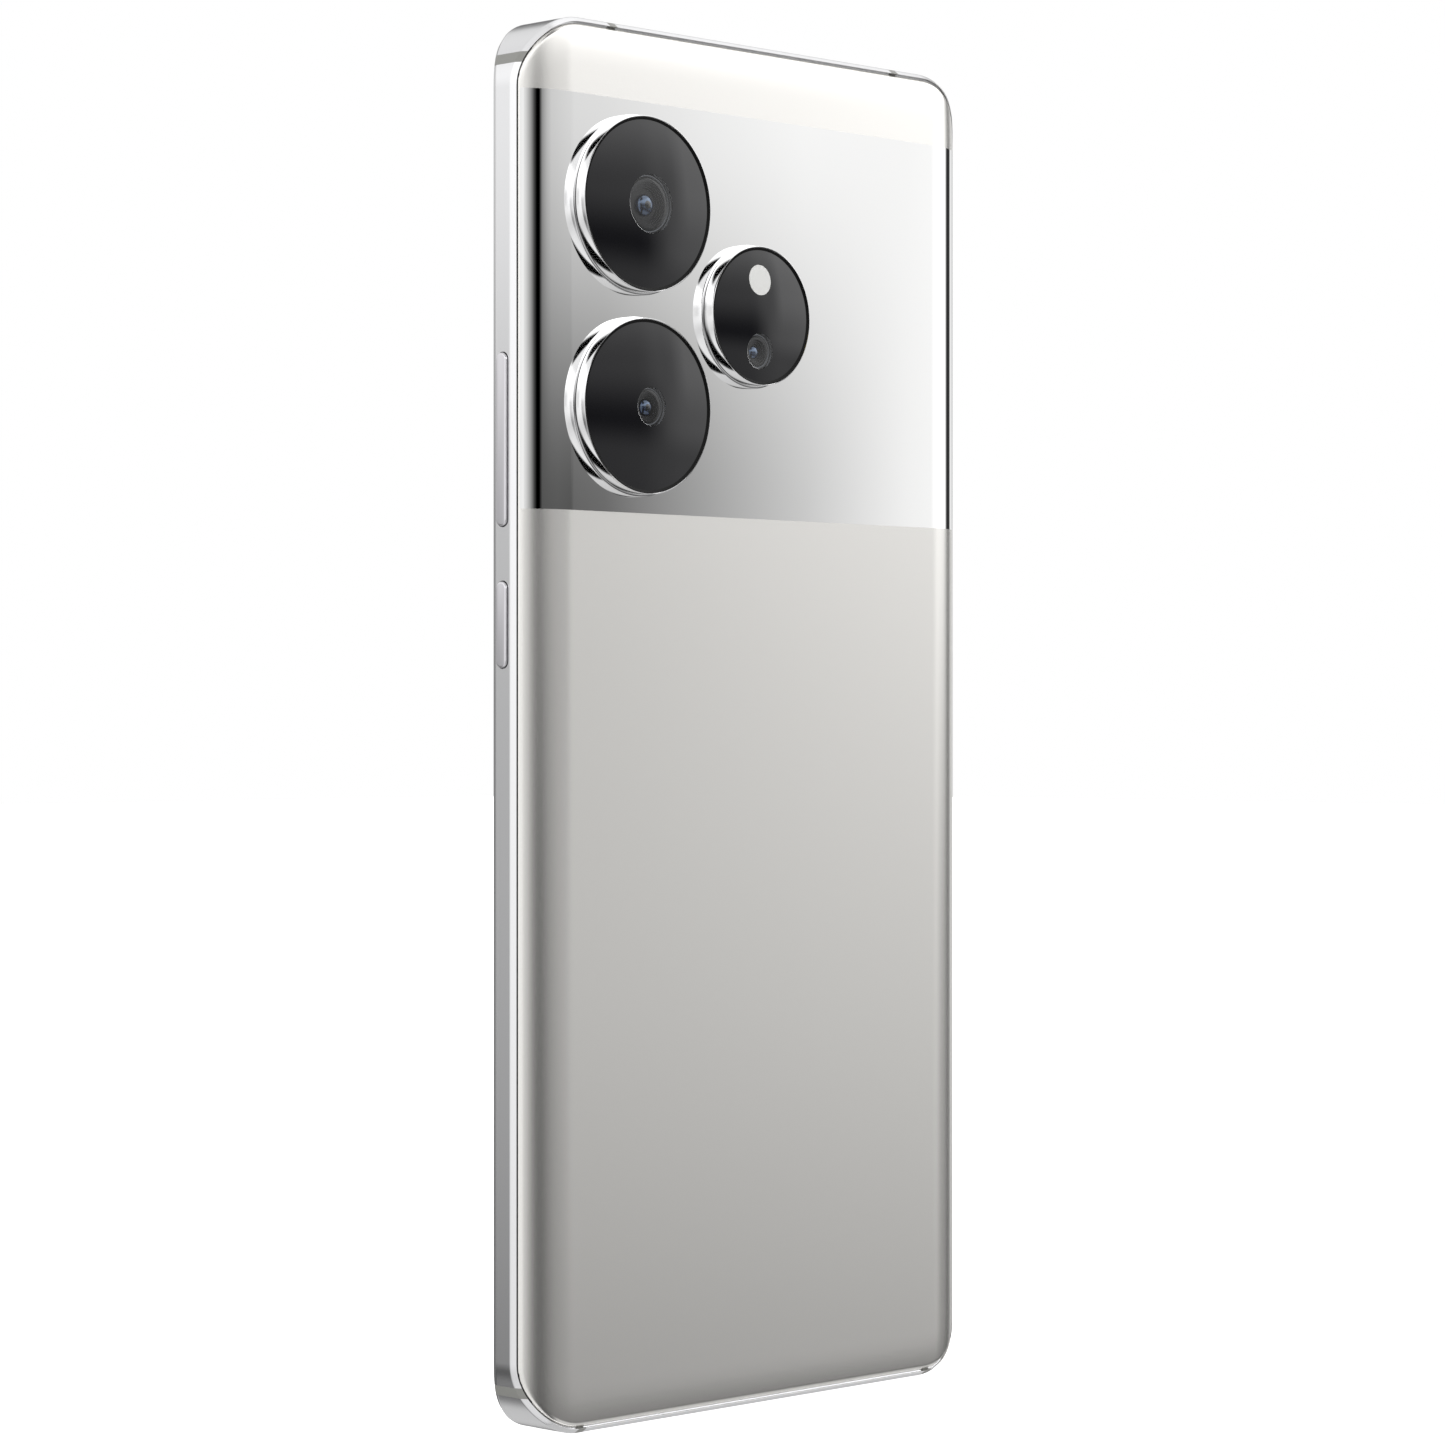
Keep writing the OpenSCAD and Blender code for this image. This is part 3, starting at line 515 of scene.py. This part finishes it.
def draw_sheet(face, inset, depth, thickness, edge_side, edge_end, keep):
    """A bent sheet on the back (face 1) or the screen (face -1), at a depth under the outer surface."""
    half_x = HALF_W - SEAM_SIDE - inset
    half_z = LENGTH / 2 - SEAM_END - inset
    corner_x = half_x - (HALF_W - CORNER)
    corner_z = half_z - (LENGTH / 2 - CORNER)
    columns = sheet_columns(half_x)
    middle = [CORNER, 30, 60, 90, MIRROR_LOW, 120, 140, MIRROR_HIGH, LENGTH - CORNER]
    rows = [("low", deep) for deep in EDGE_ROWS] + [("at", z) for z in middle]
    rows += [("high", deep) for deep in reversed(EDGE_ROWS)]
    bm = bmesh.new()
    bmesh.ops.create_grid(bm, x_segments=len(columns) - 1, y_segments=len(rows) - 1, size=1)
    for vert in bm.verts:
        x = columns[round((vert.co.x + 1) / 2 * (len(columns) - 1))]
        kind, amount = rows[round((vert.co.y + 1) / 2 * (len(rows) - 1))]
        over = max(0.0, abs(x) - (HALF_W - CORNER)) / corner_x
        reach = corner_z * math.sqrt(max(0.0, 1 - over ** 2))
        if kind == "at":
            z = amount
        else:
            deep = amount if reach > EDGE_ROWS[-1] + 1.2 else amount * reach / (EDGE_ROWS[-1] + 1.2)
            z = CORNER - reach + deep if kind == "low" else LENGTH - CORNER + reach - deep
        past = max(CORNER - z, z - LENGTH + CORNER, 0.0) / corner_z
        share = math.hypot(over, past)
        slant = past ** 2 / share ** 2 if share > 0 else 0
        edge = edge_side + (edge_end - edge_side) * slant
        inwards = (1 - share) * corner_z
        round_off = 0.0
        if edge and inwards < edge:
            round_off = edge - math.sqrt(max(0.0, edge ** 2 - (edge - max(0.0, inwards)) ** 2))
        droop = END_DROOP * slant * max(0.0, 1 - inwards / DROOP_REACH) ** 2
        height = glass_height(abs(x)) - depth - round_off - droop
        vert.co = Vector((x, face * height, z))
    if keep:
        gone = [f for f in bm.faces if not keep(f.calc_center_median())]
        bmesh.ops.delete(bm, geom=gone, context="FACES")
    bmesh.ops.recalc_face_normals(bm, faces=bm.faces)
    if sum(f.normal.y for f in bm.faces) * face < 0:
        bmesh.ops.reverse_faces(bm, faces=bm.faces)
    if thickness:
        bmesh.ops.solidify(bm, geom=bm.faces[:], thickness=thickness)
        bmesh.ops.recalc_face_normals(bm, faces=bm.faces)
    return bm


def in_mirror(spot):
    """True inside the mirror's window."""
    return MIRROR_LOW < spot.z < MIRROR_HIGH and abs(spot.x) < MIRROR_SIDE


satin_glass = grained("satin_etched_glass", (0.93, 0.915, 0.885), 0.26, 0.92, mottle=0.012, grain=0.06,
                      bump=0.02)
mirror_glass = grained("silvered_glass", (0.97, 0.97, 0.965), 0.02, 1.0, mottle=0.004, grain=6)


def draw_glass(face, keep=None):
    """One of the two outer glasses, or the part of it that is kept, with its edge rounded off."""
    return draw_sheet(face, inset=GLASS_GAP, depth=0, thickness=GLASS_THICKNESS,
                      edge_side=EDGE_ROUND_SIDE, edge_end=EDGE_ROUND_END, keep=keep)


back = made(draw_glass(1, lambda spot: not in_mirror(spot)), "back_glass", satin_glass)
belongs(back, "phone", "back_glass", "back_cover")
mirror = made(draw_glass(1, in_mirror), "mirror_window", mirror_glass)

QUARTER_TURN = Matrix.Rotation(math.radians(90), 3, "X")
# Each ring's place on the back, then the radius of its foot and of its bore
RINGS = {"a": (21.6, 141.0, 10.4, 8.2), "b": (21.6, 117.7, 10.4, 8.2), "c": (2.9, 129.4, 8.5, 6.5)}
SLEEVE_ROOM = 1.1
tools = bmesh.new()
for x, z, base, bore in RINGS.values():
    radius = base - SLEEVE_ROOM
    hole = bmesh.ops.create_cone(tools, cap_ends=True, segments=96, radius1=radius, radius2=radius, depth=9)
    bmesh.ops.rotate(tools, cent=(0, 0, 0), matrix=QUARTER_TURN, verts=hole["verts"])
    bmesh.ops.translate(tools, vec=(x, HALF_T, z), verts=hole["verts"])
carve(mirror, made(tools, "ring_tool", mirror_glass))
belongs(mirror, "phone", "mirror_film", "mirror_panel")

GLUE_SIDE = 34.6
GLUE_END = 2.9
glue_black = grained("black_glue", (0.012, 0.012, 0.012), 0.5, mottle=0.2, grain=0.3, bump=0.1)


def from_edge(spot):
    """How far a place on a sheet lies inside the rim's outline."""
    core = outward(spot.x, spot.z)[0]
    return CORNER - math.hypot(spot.x - core.x, spot.z - core.y)


def at_seam(spot):
    """True in the thin gap between a sheet of glass and the rim's lip, along the two long sides."""
    out = outward(spot.x, spot.z)[1]
    return out.y ** 2 < 0.3 and from_edge(spot) < seam_width(out) + GLASS_GAP + 0.005


def draw_seam(face):
    """The black glue that fills the seam, seen as a thin dark line."""
    return draw_sheet(face, inset=0.02, depth=0.09, thickness=0.3, edge_side=0, edge_end=0, keep=at_seam)


seam_line = made(draw_seam(1), "back_seam", glue_black)
belongs(seam_line, "phone", "glue")


def draw_glue(face, keep):
    """A thin layer of black glue, or of black print, on the inside of a glass."""
    return draw_sheet(face, inset=0.09, depth=GLASS_THICKNESS + 0.005, thickness=0.09, edge_side=0,
                      edge_end=0, keep=keep)


def on_back_ledge(spot):
    """True where the back glass is glued to the rim's ledge."""
    return abs(spot.x) > GLUE_SIDE or not GLUE_END < spot.z < LENGTH - GLUE_END


back_glue = made(draw_glue(1, on_back_ledge), "back_glue", glue_black)
belongs(back_glue, "phone", "glue", "back_adhesive")


# ---------- screen ----------
# A bent sheet of clear glass over a black panel, with the same seam as the back. A black border is
# printed on its inside, and a slot for the earpiece is cut in its top edge.

screen_glass = grained("clear_screen_glass", (0.010, 0.010, 0.012), 0.025, mottle=0.02, grain=8,
                       IOR=1.5, Alpha=0.3, Coat_Weight=0.25, Coat_Roughness=0.02)
panel_black = grained("dark_display", (0.016, 0.018, 0.024), 0.2, mottle=0.05, grain=0.08)
BORDER_WIDTH = 3.2
front = made(draw_glass(-1), "screen_glass", screen_glass)
tools = bmesh.new()
slab(tools, (-EARPIECE_HALF, -6, LENGTH - 1.1), (EARPIECE_HALF, -1, LENGTH - 0.3))
carve(front, made(tools, "slot_tool", glue_black))
belongs(front, "phone", "screen_glass", "display_glass")
seam_line = made(draw_seam(-1), "screen_seam", glue_black)
belongs(seam_line, "phone", "glue")
border = made(draw_glue(-1, lambda spot: from_edge(spot) < BORDER_WIDTH), "screen_border", glue_black)
belongs(border, "phone", "glue", "display_adhesive")


# ---------- camera rings ----------
# Three rings turned from steel in two steps and polished, with a thin groove between the steps. A
# black rubber gasket lies in the groove, and a sleeve holds each ring from inside the glass.

def turned(profile, at, steps, closed=True):
    """A turned part: its half outline as (radius, height out of the back), spun about the ring's middle."""
    bm = bmesh.new()
    corners = [bm.verts.new((radius, height, 0)) for radius, height in profile]
    lines = [bm.edges.new(pair) for pair in zip(corners, corners[1:])]
    if closed:
        lines.append(bm.edges.new((corners[-1], corners[0])))
    bmesh.ops.spin(bm, geom=corners + lines, cent=(0, 0, 0), axis=(0, 1, 0), dvec=(0, 0, 0),
                   angle=2 * math.pi, steps=steps, use_merge=True)
    bmesh.ops.remove_doubles(bm, verts=bm.verts, dist=0.0002)
    bmesh.ops.recalc_face_normals(bm, faces=bm.faces)
    bmesh.ops.translate(bm, vec=(at[0], HALF_T, at[1]), verts=bm.verts)
    return bm


TIER = 1.45
GROOVE = 0.15
RING_TOP = 3.1
INNER_SHELF = 2.3
ring_steel = grained("polished_steel", (0.93, 0.93, 0.94), 0.09, 1.0, mottle=0.01, grain=0.2, bump=0.02)
gasket_rubber = grained("black_rubber", (0.015, 0.015, 0.015), 0.6, mottle=0.2, grain=0.1, bump=0.2)
for letter, (x, z, base, bore) in RINGS.items():
    top = base - 0.25
    section = [(bore, -1.1), (bore + 0.8, -1.1), (bore + 0.8, -0.1), (base - 0.02, -0.1), (base, 0.12),
               (base, TIER - 0.14), (base - 0.05, TIER - 0.04), (base - 0.14, TIER), (base - 0.6, TIER),
               (base - 0.6, TIER + GROOVE), (top - 0.1, TIER + GROOVE), (top - 0.03, TIER + GROOVE + 0.03),
               (top, TIER + GROOVE + 0.1), (top, RING_TOP - 0.12), (top - 0.02, RING_TOP - 0.05),
               (top - 0.06, RING_TOP - 0.02), (top - 0.09, RING_TOP - 0.02), (top - 0.1, RING_TOP - 0.05),
               (top - 0.1, INNER_SHELF), (bore + 0.3, INNER_SHELF), (bore + 0.3, 0.3), (bore, 0.3)]
    ring = made(turned(section, (x, z), 144), "ring_" + letter, ring_steel, 30)
    ring.visible_glossy = False
    belongs(ring, "phone", "ring_metal", "camera_ring_" + letter)
bm = bmesh.new()
for x, z, base, bore in RINGS.values():
    low = TIER + 0.01
    high = TIER + GROOVE - 0.01
    section = [(base - 0.59, low), (base - 0.31, low), (base - 0.31, high), (base - 0.59, high)]
    part = turned(section, (x, z), 96)
    holder = bpy.data.meshes.new("part")
    part.to_mesh(holder)
    part.free()
    bm.from_mesh(holder)
gaskets = made(bm, "ring_seals", gasket_rubber)
gaskets.visible_glossy = False
belongs(gaskets, "phone", "seal_rubber", "ring_gaskets")


# ---------- lens covers ----------
# A slightly domed disc of black printed glass fills each ring, with a matt ground edge. The print
# leaves a clear window over each lens, and the flash shines through a frosted lens of its own.

cover_glass = grained("black_printed_glass", (0.006, 0.006, 0.008), 0.03, mottle=0.02, grain=5, IOR=1.5)
cover_edge_black = grained("ground_black_edge", (0.004, 0.004, 0.004), 0.45, mottle=0.1, grain=0.2,
                           Specular_IOR_Level=0.15)
window_glass = grained("clear_window_glass", (0.95, 0.96, 0.97), 0.01, mottle=0.005, grain=5, IOR=1.5,
                       Transmission_Weight=1.0)
trim_metal = grained("dark_trim", (0.06, 0.063, 0.07), 0.3, 1.0, mottle=0.03, grain=0.1)
flash_white = grained("frosted_flash_lens", (0.93, 0.93, 0.91), 0.4, mottle=0.03, grain=0.15, bump=0.2)
# Each window's place on the back and its radius
WINDOWS = {"a": [(21.4, 141.0, 3.4)], "b": [(21.35, 117.65, 2.25)], "c": [(3.35, 125.2, 2.1)]}
FLASH = (3.35, 133.6, 1.8)
SEAT = 2.31
DOME = 0.5
EDGE_BAND = 0.36
COVER_CLEARANCE = 0.37


def draw_cover(base, at):
    """The whole domed disc of one ring, up to its ground edge, and its height at that edge."""
    radius = base - COVER_CLEARANCE
    rim_height = RING_TOP - 0.25
    sphere = (radius ** 2 + DOME ** 2) / (2 * DOME)
    inner = radius - EDGE_BAND
    rounds = [inner * (1 - k / 16) for k in range(17)]
    rises = [rim_height + DOME - sphere + math.sqrt(sphere ** 2 - r ** 2) for r in rounds]
    return turned([(0, SEAT), (inner, SEAT)] + list(zip(rounds, rises)), at, 128, closed=False), rises[0]


def round_cutter(name, at, radius):
    """A short cylinder that stands out of the back, used to cut a round window."""
    bm = bmesh.new()
    hole = bmesh.ops.create_cone(bm, cap_ends=True, segments=80, radius1=radius, radius2=radius, depth=8)
    bmesh.ops.rotate(bm, cent=(0, 0, 0), matrix=QUARTER_TURN, verts=hole["verts"])
    bmesh.ops.translate(bm, vec=(at[0], HALF_T + SEAT, at[1]), verts=hole["verts"])
    return made(bm, name, cover_glass)


for letter, (x, z, base, bore) in RINGS.items():
    disc, shoulder = draw_cover(base, (x, z))
    cover = made(disc, "cover_glass_" + letter, cover_glass, 20)
    for number, (wx, wz, wr) in enumerate(WINDOWS[letter]):
        pane = made(draw_cover(base, (x, z))[0], f"lens_window_{letter}{number}", window_glass, 20)
        carve(pane, round_cutter("pane_tool", (wx, wz), wr - 0.01), "INTERSECT", 20)
        carve(cover, round_cutter("window_tool", (wx, wz), wr), "DIFFERENCE", 20)
        pane.visible_glossy = False
        belongs(pane, "phone", "lens_glass")
        trim = made(turned([(wr - 0.3, SEAT - 0.05), (wr - 0.1, SEAT - 0.05), (wr - 0.1, SEAT - 0.03),
                            (wr - 0.16, SEAT - 0.01), (wr - 0.24, SEAT - 0.02)], (wx, wz), 80),
                    f"window_trim_{letter}{number}", trim_metal)
        belongs(trim, "phone", "ring_metal")
    if letter == "c":
        carve(cover, round_cutter("flash_tool", FLASH, FLASH[2] + 0.02), "DIFFERENCE", 20)
        flash = made(draw_cover(base, (x, z))[0], "flash_window", flash_white, 20)
        carve(flash, round_cutter("flash_tool", FLASH, FLASH[2]), "INTERSECT", 20)
        flash.visible_glossy = False
        belongs(flash, "phone", "flash_lens", "flash_lens")
    cover.visible_glossy = False
    belongs(cover, "phone", "lens_glass", "lens_cover_" + letter)
    radius = base - COVER_CLEARANCE
    edge = made(turned([(radius - EDGE_BAND, SEAT), (radius, SEAT), (radius, RING_TOP - 0.1),
                        (radius - 0.06, RING_TOP - 0.03), (radius - EDGE_BAND, shoulder)], (x, z), 128),
                "cover_edge_" + letter, cover_edge_black, 50)
    edge.visible_glossy = False
    belongs(edge, "phone", "lens_glass")


# ---------- camera lenses and flash ----------
# Each lens is a black barrel with stepped light traps and a curved, blue-coated front element, with a
# small black dome on the element as painted shade for the dark inside of the lens. The front camera has
# a metal ring round its dark lens, and the flash is a yellow chip.

barrel_black = grained("black_barrel", (0.006, 0.006, 0.008), 0.35, mottle=0.1, grain=0.08, bump=0.1,
                       Specular_IOR_Level=0.3)
coated_element = grained("blue_coated_glass", (0.010, 0.018, 0.055), 0.04, mottle=0.05, grain=3, IOR=2.3,
                         Specular_Tint=(0.55, 0.72, 1.0, 1))
# Painted shade: a near-black finish for a small dome that stands in for the dark inside of each lens
painted_lens_shade = grained("painted_shade_dome", (0.002, 0.002, 0.003), 0.08, mottle=0.05, grain=1, IOR=1.6)
front_trim_metal = grained("front_camera_metal", (0.22, 0.22, 0.24), 0.3, 1.0, mottle=0.05, grain=0.1)
FRONT_CAMERA = (0.0, 154.6)
chip_yellow = grained("flash_chip", (0.75, 0.6, 0.12), 0.6, mottle=0.1, grain=0.1)


def draw_lens(outer, floor_height, mouth, at):
    """Barrel: outer wall, rounded mouth, and three steps down to the glass."""
    section = [(0, -4.0), (outer, -4.0), (outer, mouth - 0.25), (outer - 0.08, mouth - 0.07),
               (outer - 0.25, mouth), (outer - 0.5, mouth)]
    reach = outer - 0.5
    fall = mouth
    for step in range(3):
        fall -= 0.18
        section.append((reach, fall))
        reach -= 0.22
        section.append((reach, fall))
    section += [(reach, floor_height), (0, floor_height)]
    return turned(section, at, 96, closed=False)


def draw_element(radius, low, crown, at):
    """A lens element: a shallow dome with a flat back."""
    rounds = [radius * math.sin(math.radians(90 * k / 10)) for k in range(10, -1, -1)]
    rises = [low + crown * math.cos(math.radians(90 * k / 10)) for k in range(10, -1, -1)]
    return turned([(0, low - 0.15), (radius, low - 0.15)] + list(zip(rounds, rises)), at, 80, closed=False)


# The two lenses that focus: body, place on the back, radius of the barrel and of the element
for body, at, outer, radius in (("main_lens", (21.0, 141.0), 3.1, 1.25),
                                ("second_lens", (21.0, 117.65), 2.1, 1.0)):
    name = body.removesuffix("_lens")
    barrel = made(draw_lens(outer, floor_height=1.2, mouth=1.92, at=at), name + "_barrel", barrel_black, 30)
    belongs(barrel, body, "lens_barrel", body)
    glass = made(draw_element(radius, low=1.3, crown=0.6, at=at), name + "_element", coated_element, 30)
    belongs(glass, body, "lens_barrel")
    # A small black dome on the element is painted shade, standing in for the dark inside of the lens seen
    # through its middle
    painted_shade_dome = made(draw_element(0.42 * radius, low=1.8, crown=0.12, at=at), name + "_pupil", painted_lens_shade, 30)
    belongs(painted_shade_dome, body, "lens_barrel")

SMALL_CAMERA = (3.2, 125.2)
small = made(draw_lens(1.9, floor_height=1.3, mouth=2.15, at=SMALL_CAMERA), "small_barrel",
             barrel_black, 30)
belongs(small, "phone", "camera_housing", "small_camera")
small_glass = made(draw_element(0.85, low=1.4, crown=0.5, at=SMALL_CAMERA), "small_element",
                   coated_element, 30)
belongs(small_glass, "phone", "lens_barrel")

# Drawn out of the back with its heights from the phone's middle, and then turned to face the screen
front_trim = made(turned([(1.45, 3.60), (1.85, 3.60), (1.85, 3.70), (1.78, 3.72), (1.5, 3.68)],
                         FRONT_CAMERA, 80), "front_camera_trim", front_trim_metal)
front_eye = made(draw_element(0.8, low=3.62, crown=0.1, at=FRONT_CAMERA), "front_camera_element",
                 coated_element, 30)
for piece in (front_trim, front_eye):
    for vert in piece.data.vertices:
        vert.co.y = HALF_T * MM - vert.co.y
    piece.data.flip_normals()
    belongs(piece, "phone", "lens_barrel")


# ---------- keys ----------
# Two milled pill-shaped keys with a satin face and a softened edge. The long one rocks for volume,
# the short one presses in; each has a flange inside that keeps it in its slot.

key_metal = grained("satin_key_metal", (0.80, 0.79, 0.82), 0.3, 1.0, mottle=0.02, grain=0.12, bump=0.12)
KEY_FACE = 37.9
KEY_ROOT = 35.9
FLANGE_ROOT = 35.2
NUB_ROOT = 34.95
for name, (z, length) in KEYS.items():
    bm = bmesh.new()
    bar = rounded_bar(bm, (KEY_WIDTH, length), KEY_WIDTH / 2 - 0.01, KEY_FACE - KEY_ROOT, edge=0.22,
                      edge_segments=5, corner_segments=16)
    turned_bar(bm, bar, "+x", (KEY_ROOT, 0, z))
    flange = rounded_bar(bm, (KEY_WIDTH + 1, length + 1.4), 0.3, 0.72)
    turned_bar(bm, flange, "+x", (FLANGE_ROOT, 0, z))
    for nub in ((-6.5, 6.5) if name == "volume" else (0,)):
        part = rounded_bar(bm, (1, 1), 0.49, 0.3)
        turned_bar(bm, part, "+x", (NUB_ROOT, 0, z + nub))
    key = made(bm, name + "_key_cap", key_metal)
    belongs(key, name + "_key", "key_metal", name + "_key")


# ---------- card tray ----------
# The tray's cap is milled with the rim's finish and lies flush with it. Its bed is hollowed from both
# faces for a card on each, and it slides out of the phone in one piece.

TRAY_BED = (10.6, 1.5)
CAP_TOP = 1.2
BED_LENGTH = 20.9
bm = bmesh.new()
bar = rounded_bar(bm, TRAY_CAP, TRAY_CAP[1] / 2 - 0.01, CAP_TOP - 0.02, edge=0.1)
turned_bar(bm, bar, "-z", (TRAY_X, 0, CAP_TOP))
bed = rounded_bar(bm, TRAY_BED, 0.2, BED_LENGTH)
turned_bar(bm, bed, "-z", (TRAY_X, 0, CAP_TOP + BED_LENGTH))
tray = made(bm, "card_tray", frame_metal)
tools = bmesh.new()
for side in (-1, 1):
    low_y, high_y = sorted((side * 0.12, side * 3))
    slab(tools, (TRAY_X - 4.5, low_y, 5.8), (TRAY_X + 4.5, high_y, 21.1))
carve(tray, made(tools, "bed_tool", frame_metal))
belongs(tray, "sim_tray", "frame_metal", "sim_tray")


# ---------- works inside ----------
# Boards, battery, motor, speaker, brackets, ribbons and screws, each with the finish of its own
# material. The socket is a steel shell round a black tongue, and mesh lies behind the sound holes.

steel = grained("pressed_steel", (0.6, 0.6, 0.6), 0.3, 1.0, mottle=0.05, grain=0.3, bump=0.1)
inner_plastic = grained("black_moulded_plastic", (0.02, 0.02, 0.02), 0.5, mottle=0.1, grain=0.15, bump=0.2)
board_green = grained("green_board", (0.02, 0.10, 0.05), 0.4, mottle=0.3, grain=0.6, bump=0.1)
gold = grained("gold_plate", (0.8, 0.58, 0.25), 0.25, 1.0, mottle=0.05, grain=0.2)
copper = grained("copper_sheet", (0.75, 0.4, 0.26), 0.28, 1.0, mottle=0.08, grain=0.5, bump=0.1)
pouch = grained("battery_pouch", (0.16, 0.16, 0.17), 0.35, 0.4, mottle=0.1, grain=1.5, bump=0.2)
tape = grained("white_tape", (0.7, 0.7, 0.68), 0.6, mottle=0.05, grain=0.5, bump=0.1)
ribbon = grained("polyimide_ribbon", (0.45, 0.2, 0.03), 0.35, mottle=0.1, grain=0.4)
graphite = grained("graphite_sheet", (0.05, 0.05, 0.055), 0.45, 0.3, mottle=0.2, grain=0.5, bump=0.15)
weight = grained("tungsten_weight", (0.3, 0.3, 0.32), 0.4, 1.0, mottle=0.05, grain=0.2)
woven = grained("woven_mesh", (0.05, 0.05, 0.05), 0.4, 0.8, mottle=0.5, grain=0.12, bump=0.5)
sensor_glass = grained("sensor_glass", (0.01, 0.01, 0.015), 0.1, mottle=0.1, grain=0.5)
FINISHES = {
    panel_black: ["display_panel"],
    sensor_glass: ["fingerprint_sensor", "proximity_sensor", "front_camera"],
    ribbon: ["display_flex", "key_flex", "main_flex"],
    graphite: ["graphite_sheet"],
    inner_plastic: ["main_camera", "second_camera", "usb_tongue", "speaker_box", "upper_bracket",
                    "lower_bracket", "earpiece"],
    gasket_rubber: ["sim_tray_seal", "usb_seal"],
    chip_yellow: ["flash_led"],
    steel: ["camera_bracket", "key_switches", "sim_reader", "sim_eject_rod", "sim_eject_lever", "usb_shell",
            "shield_cans", "haptic_case", "screws"],
    board_green: ["sub_board", "main_board"],
    barrel_black: ["processor", "speaker_driver"],
    gold: ["bottom_microphone", "top_microphone"],
    woven: ["speaker_mesh", "earpiece_mesh"],
    copper: ["vapour_chamber"],
    pouch: ["battery"],
    tape: ["battery_adhesive"],
    weight: ["haptic_mass"],
}
for material, names in FINISHES.items():
    for name in names:
        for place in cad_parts[name].material_slots:
            place.material = material
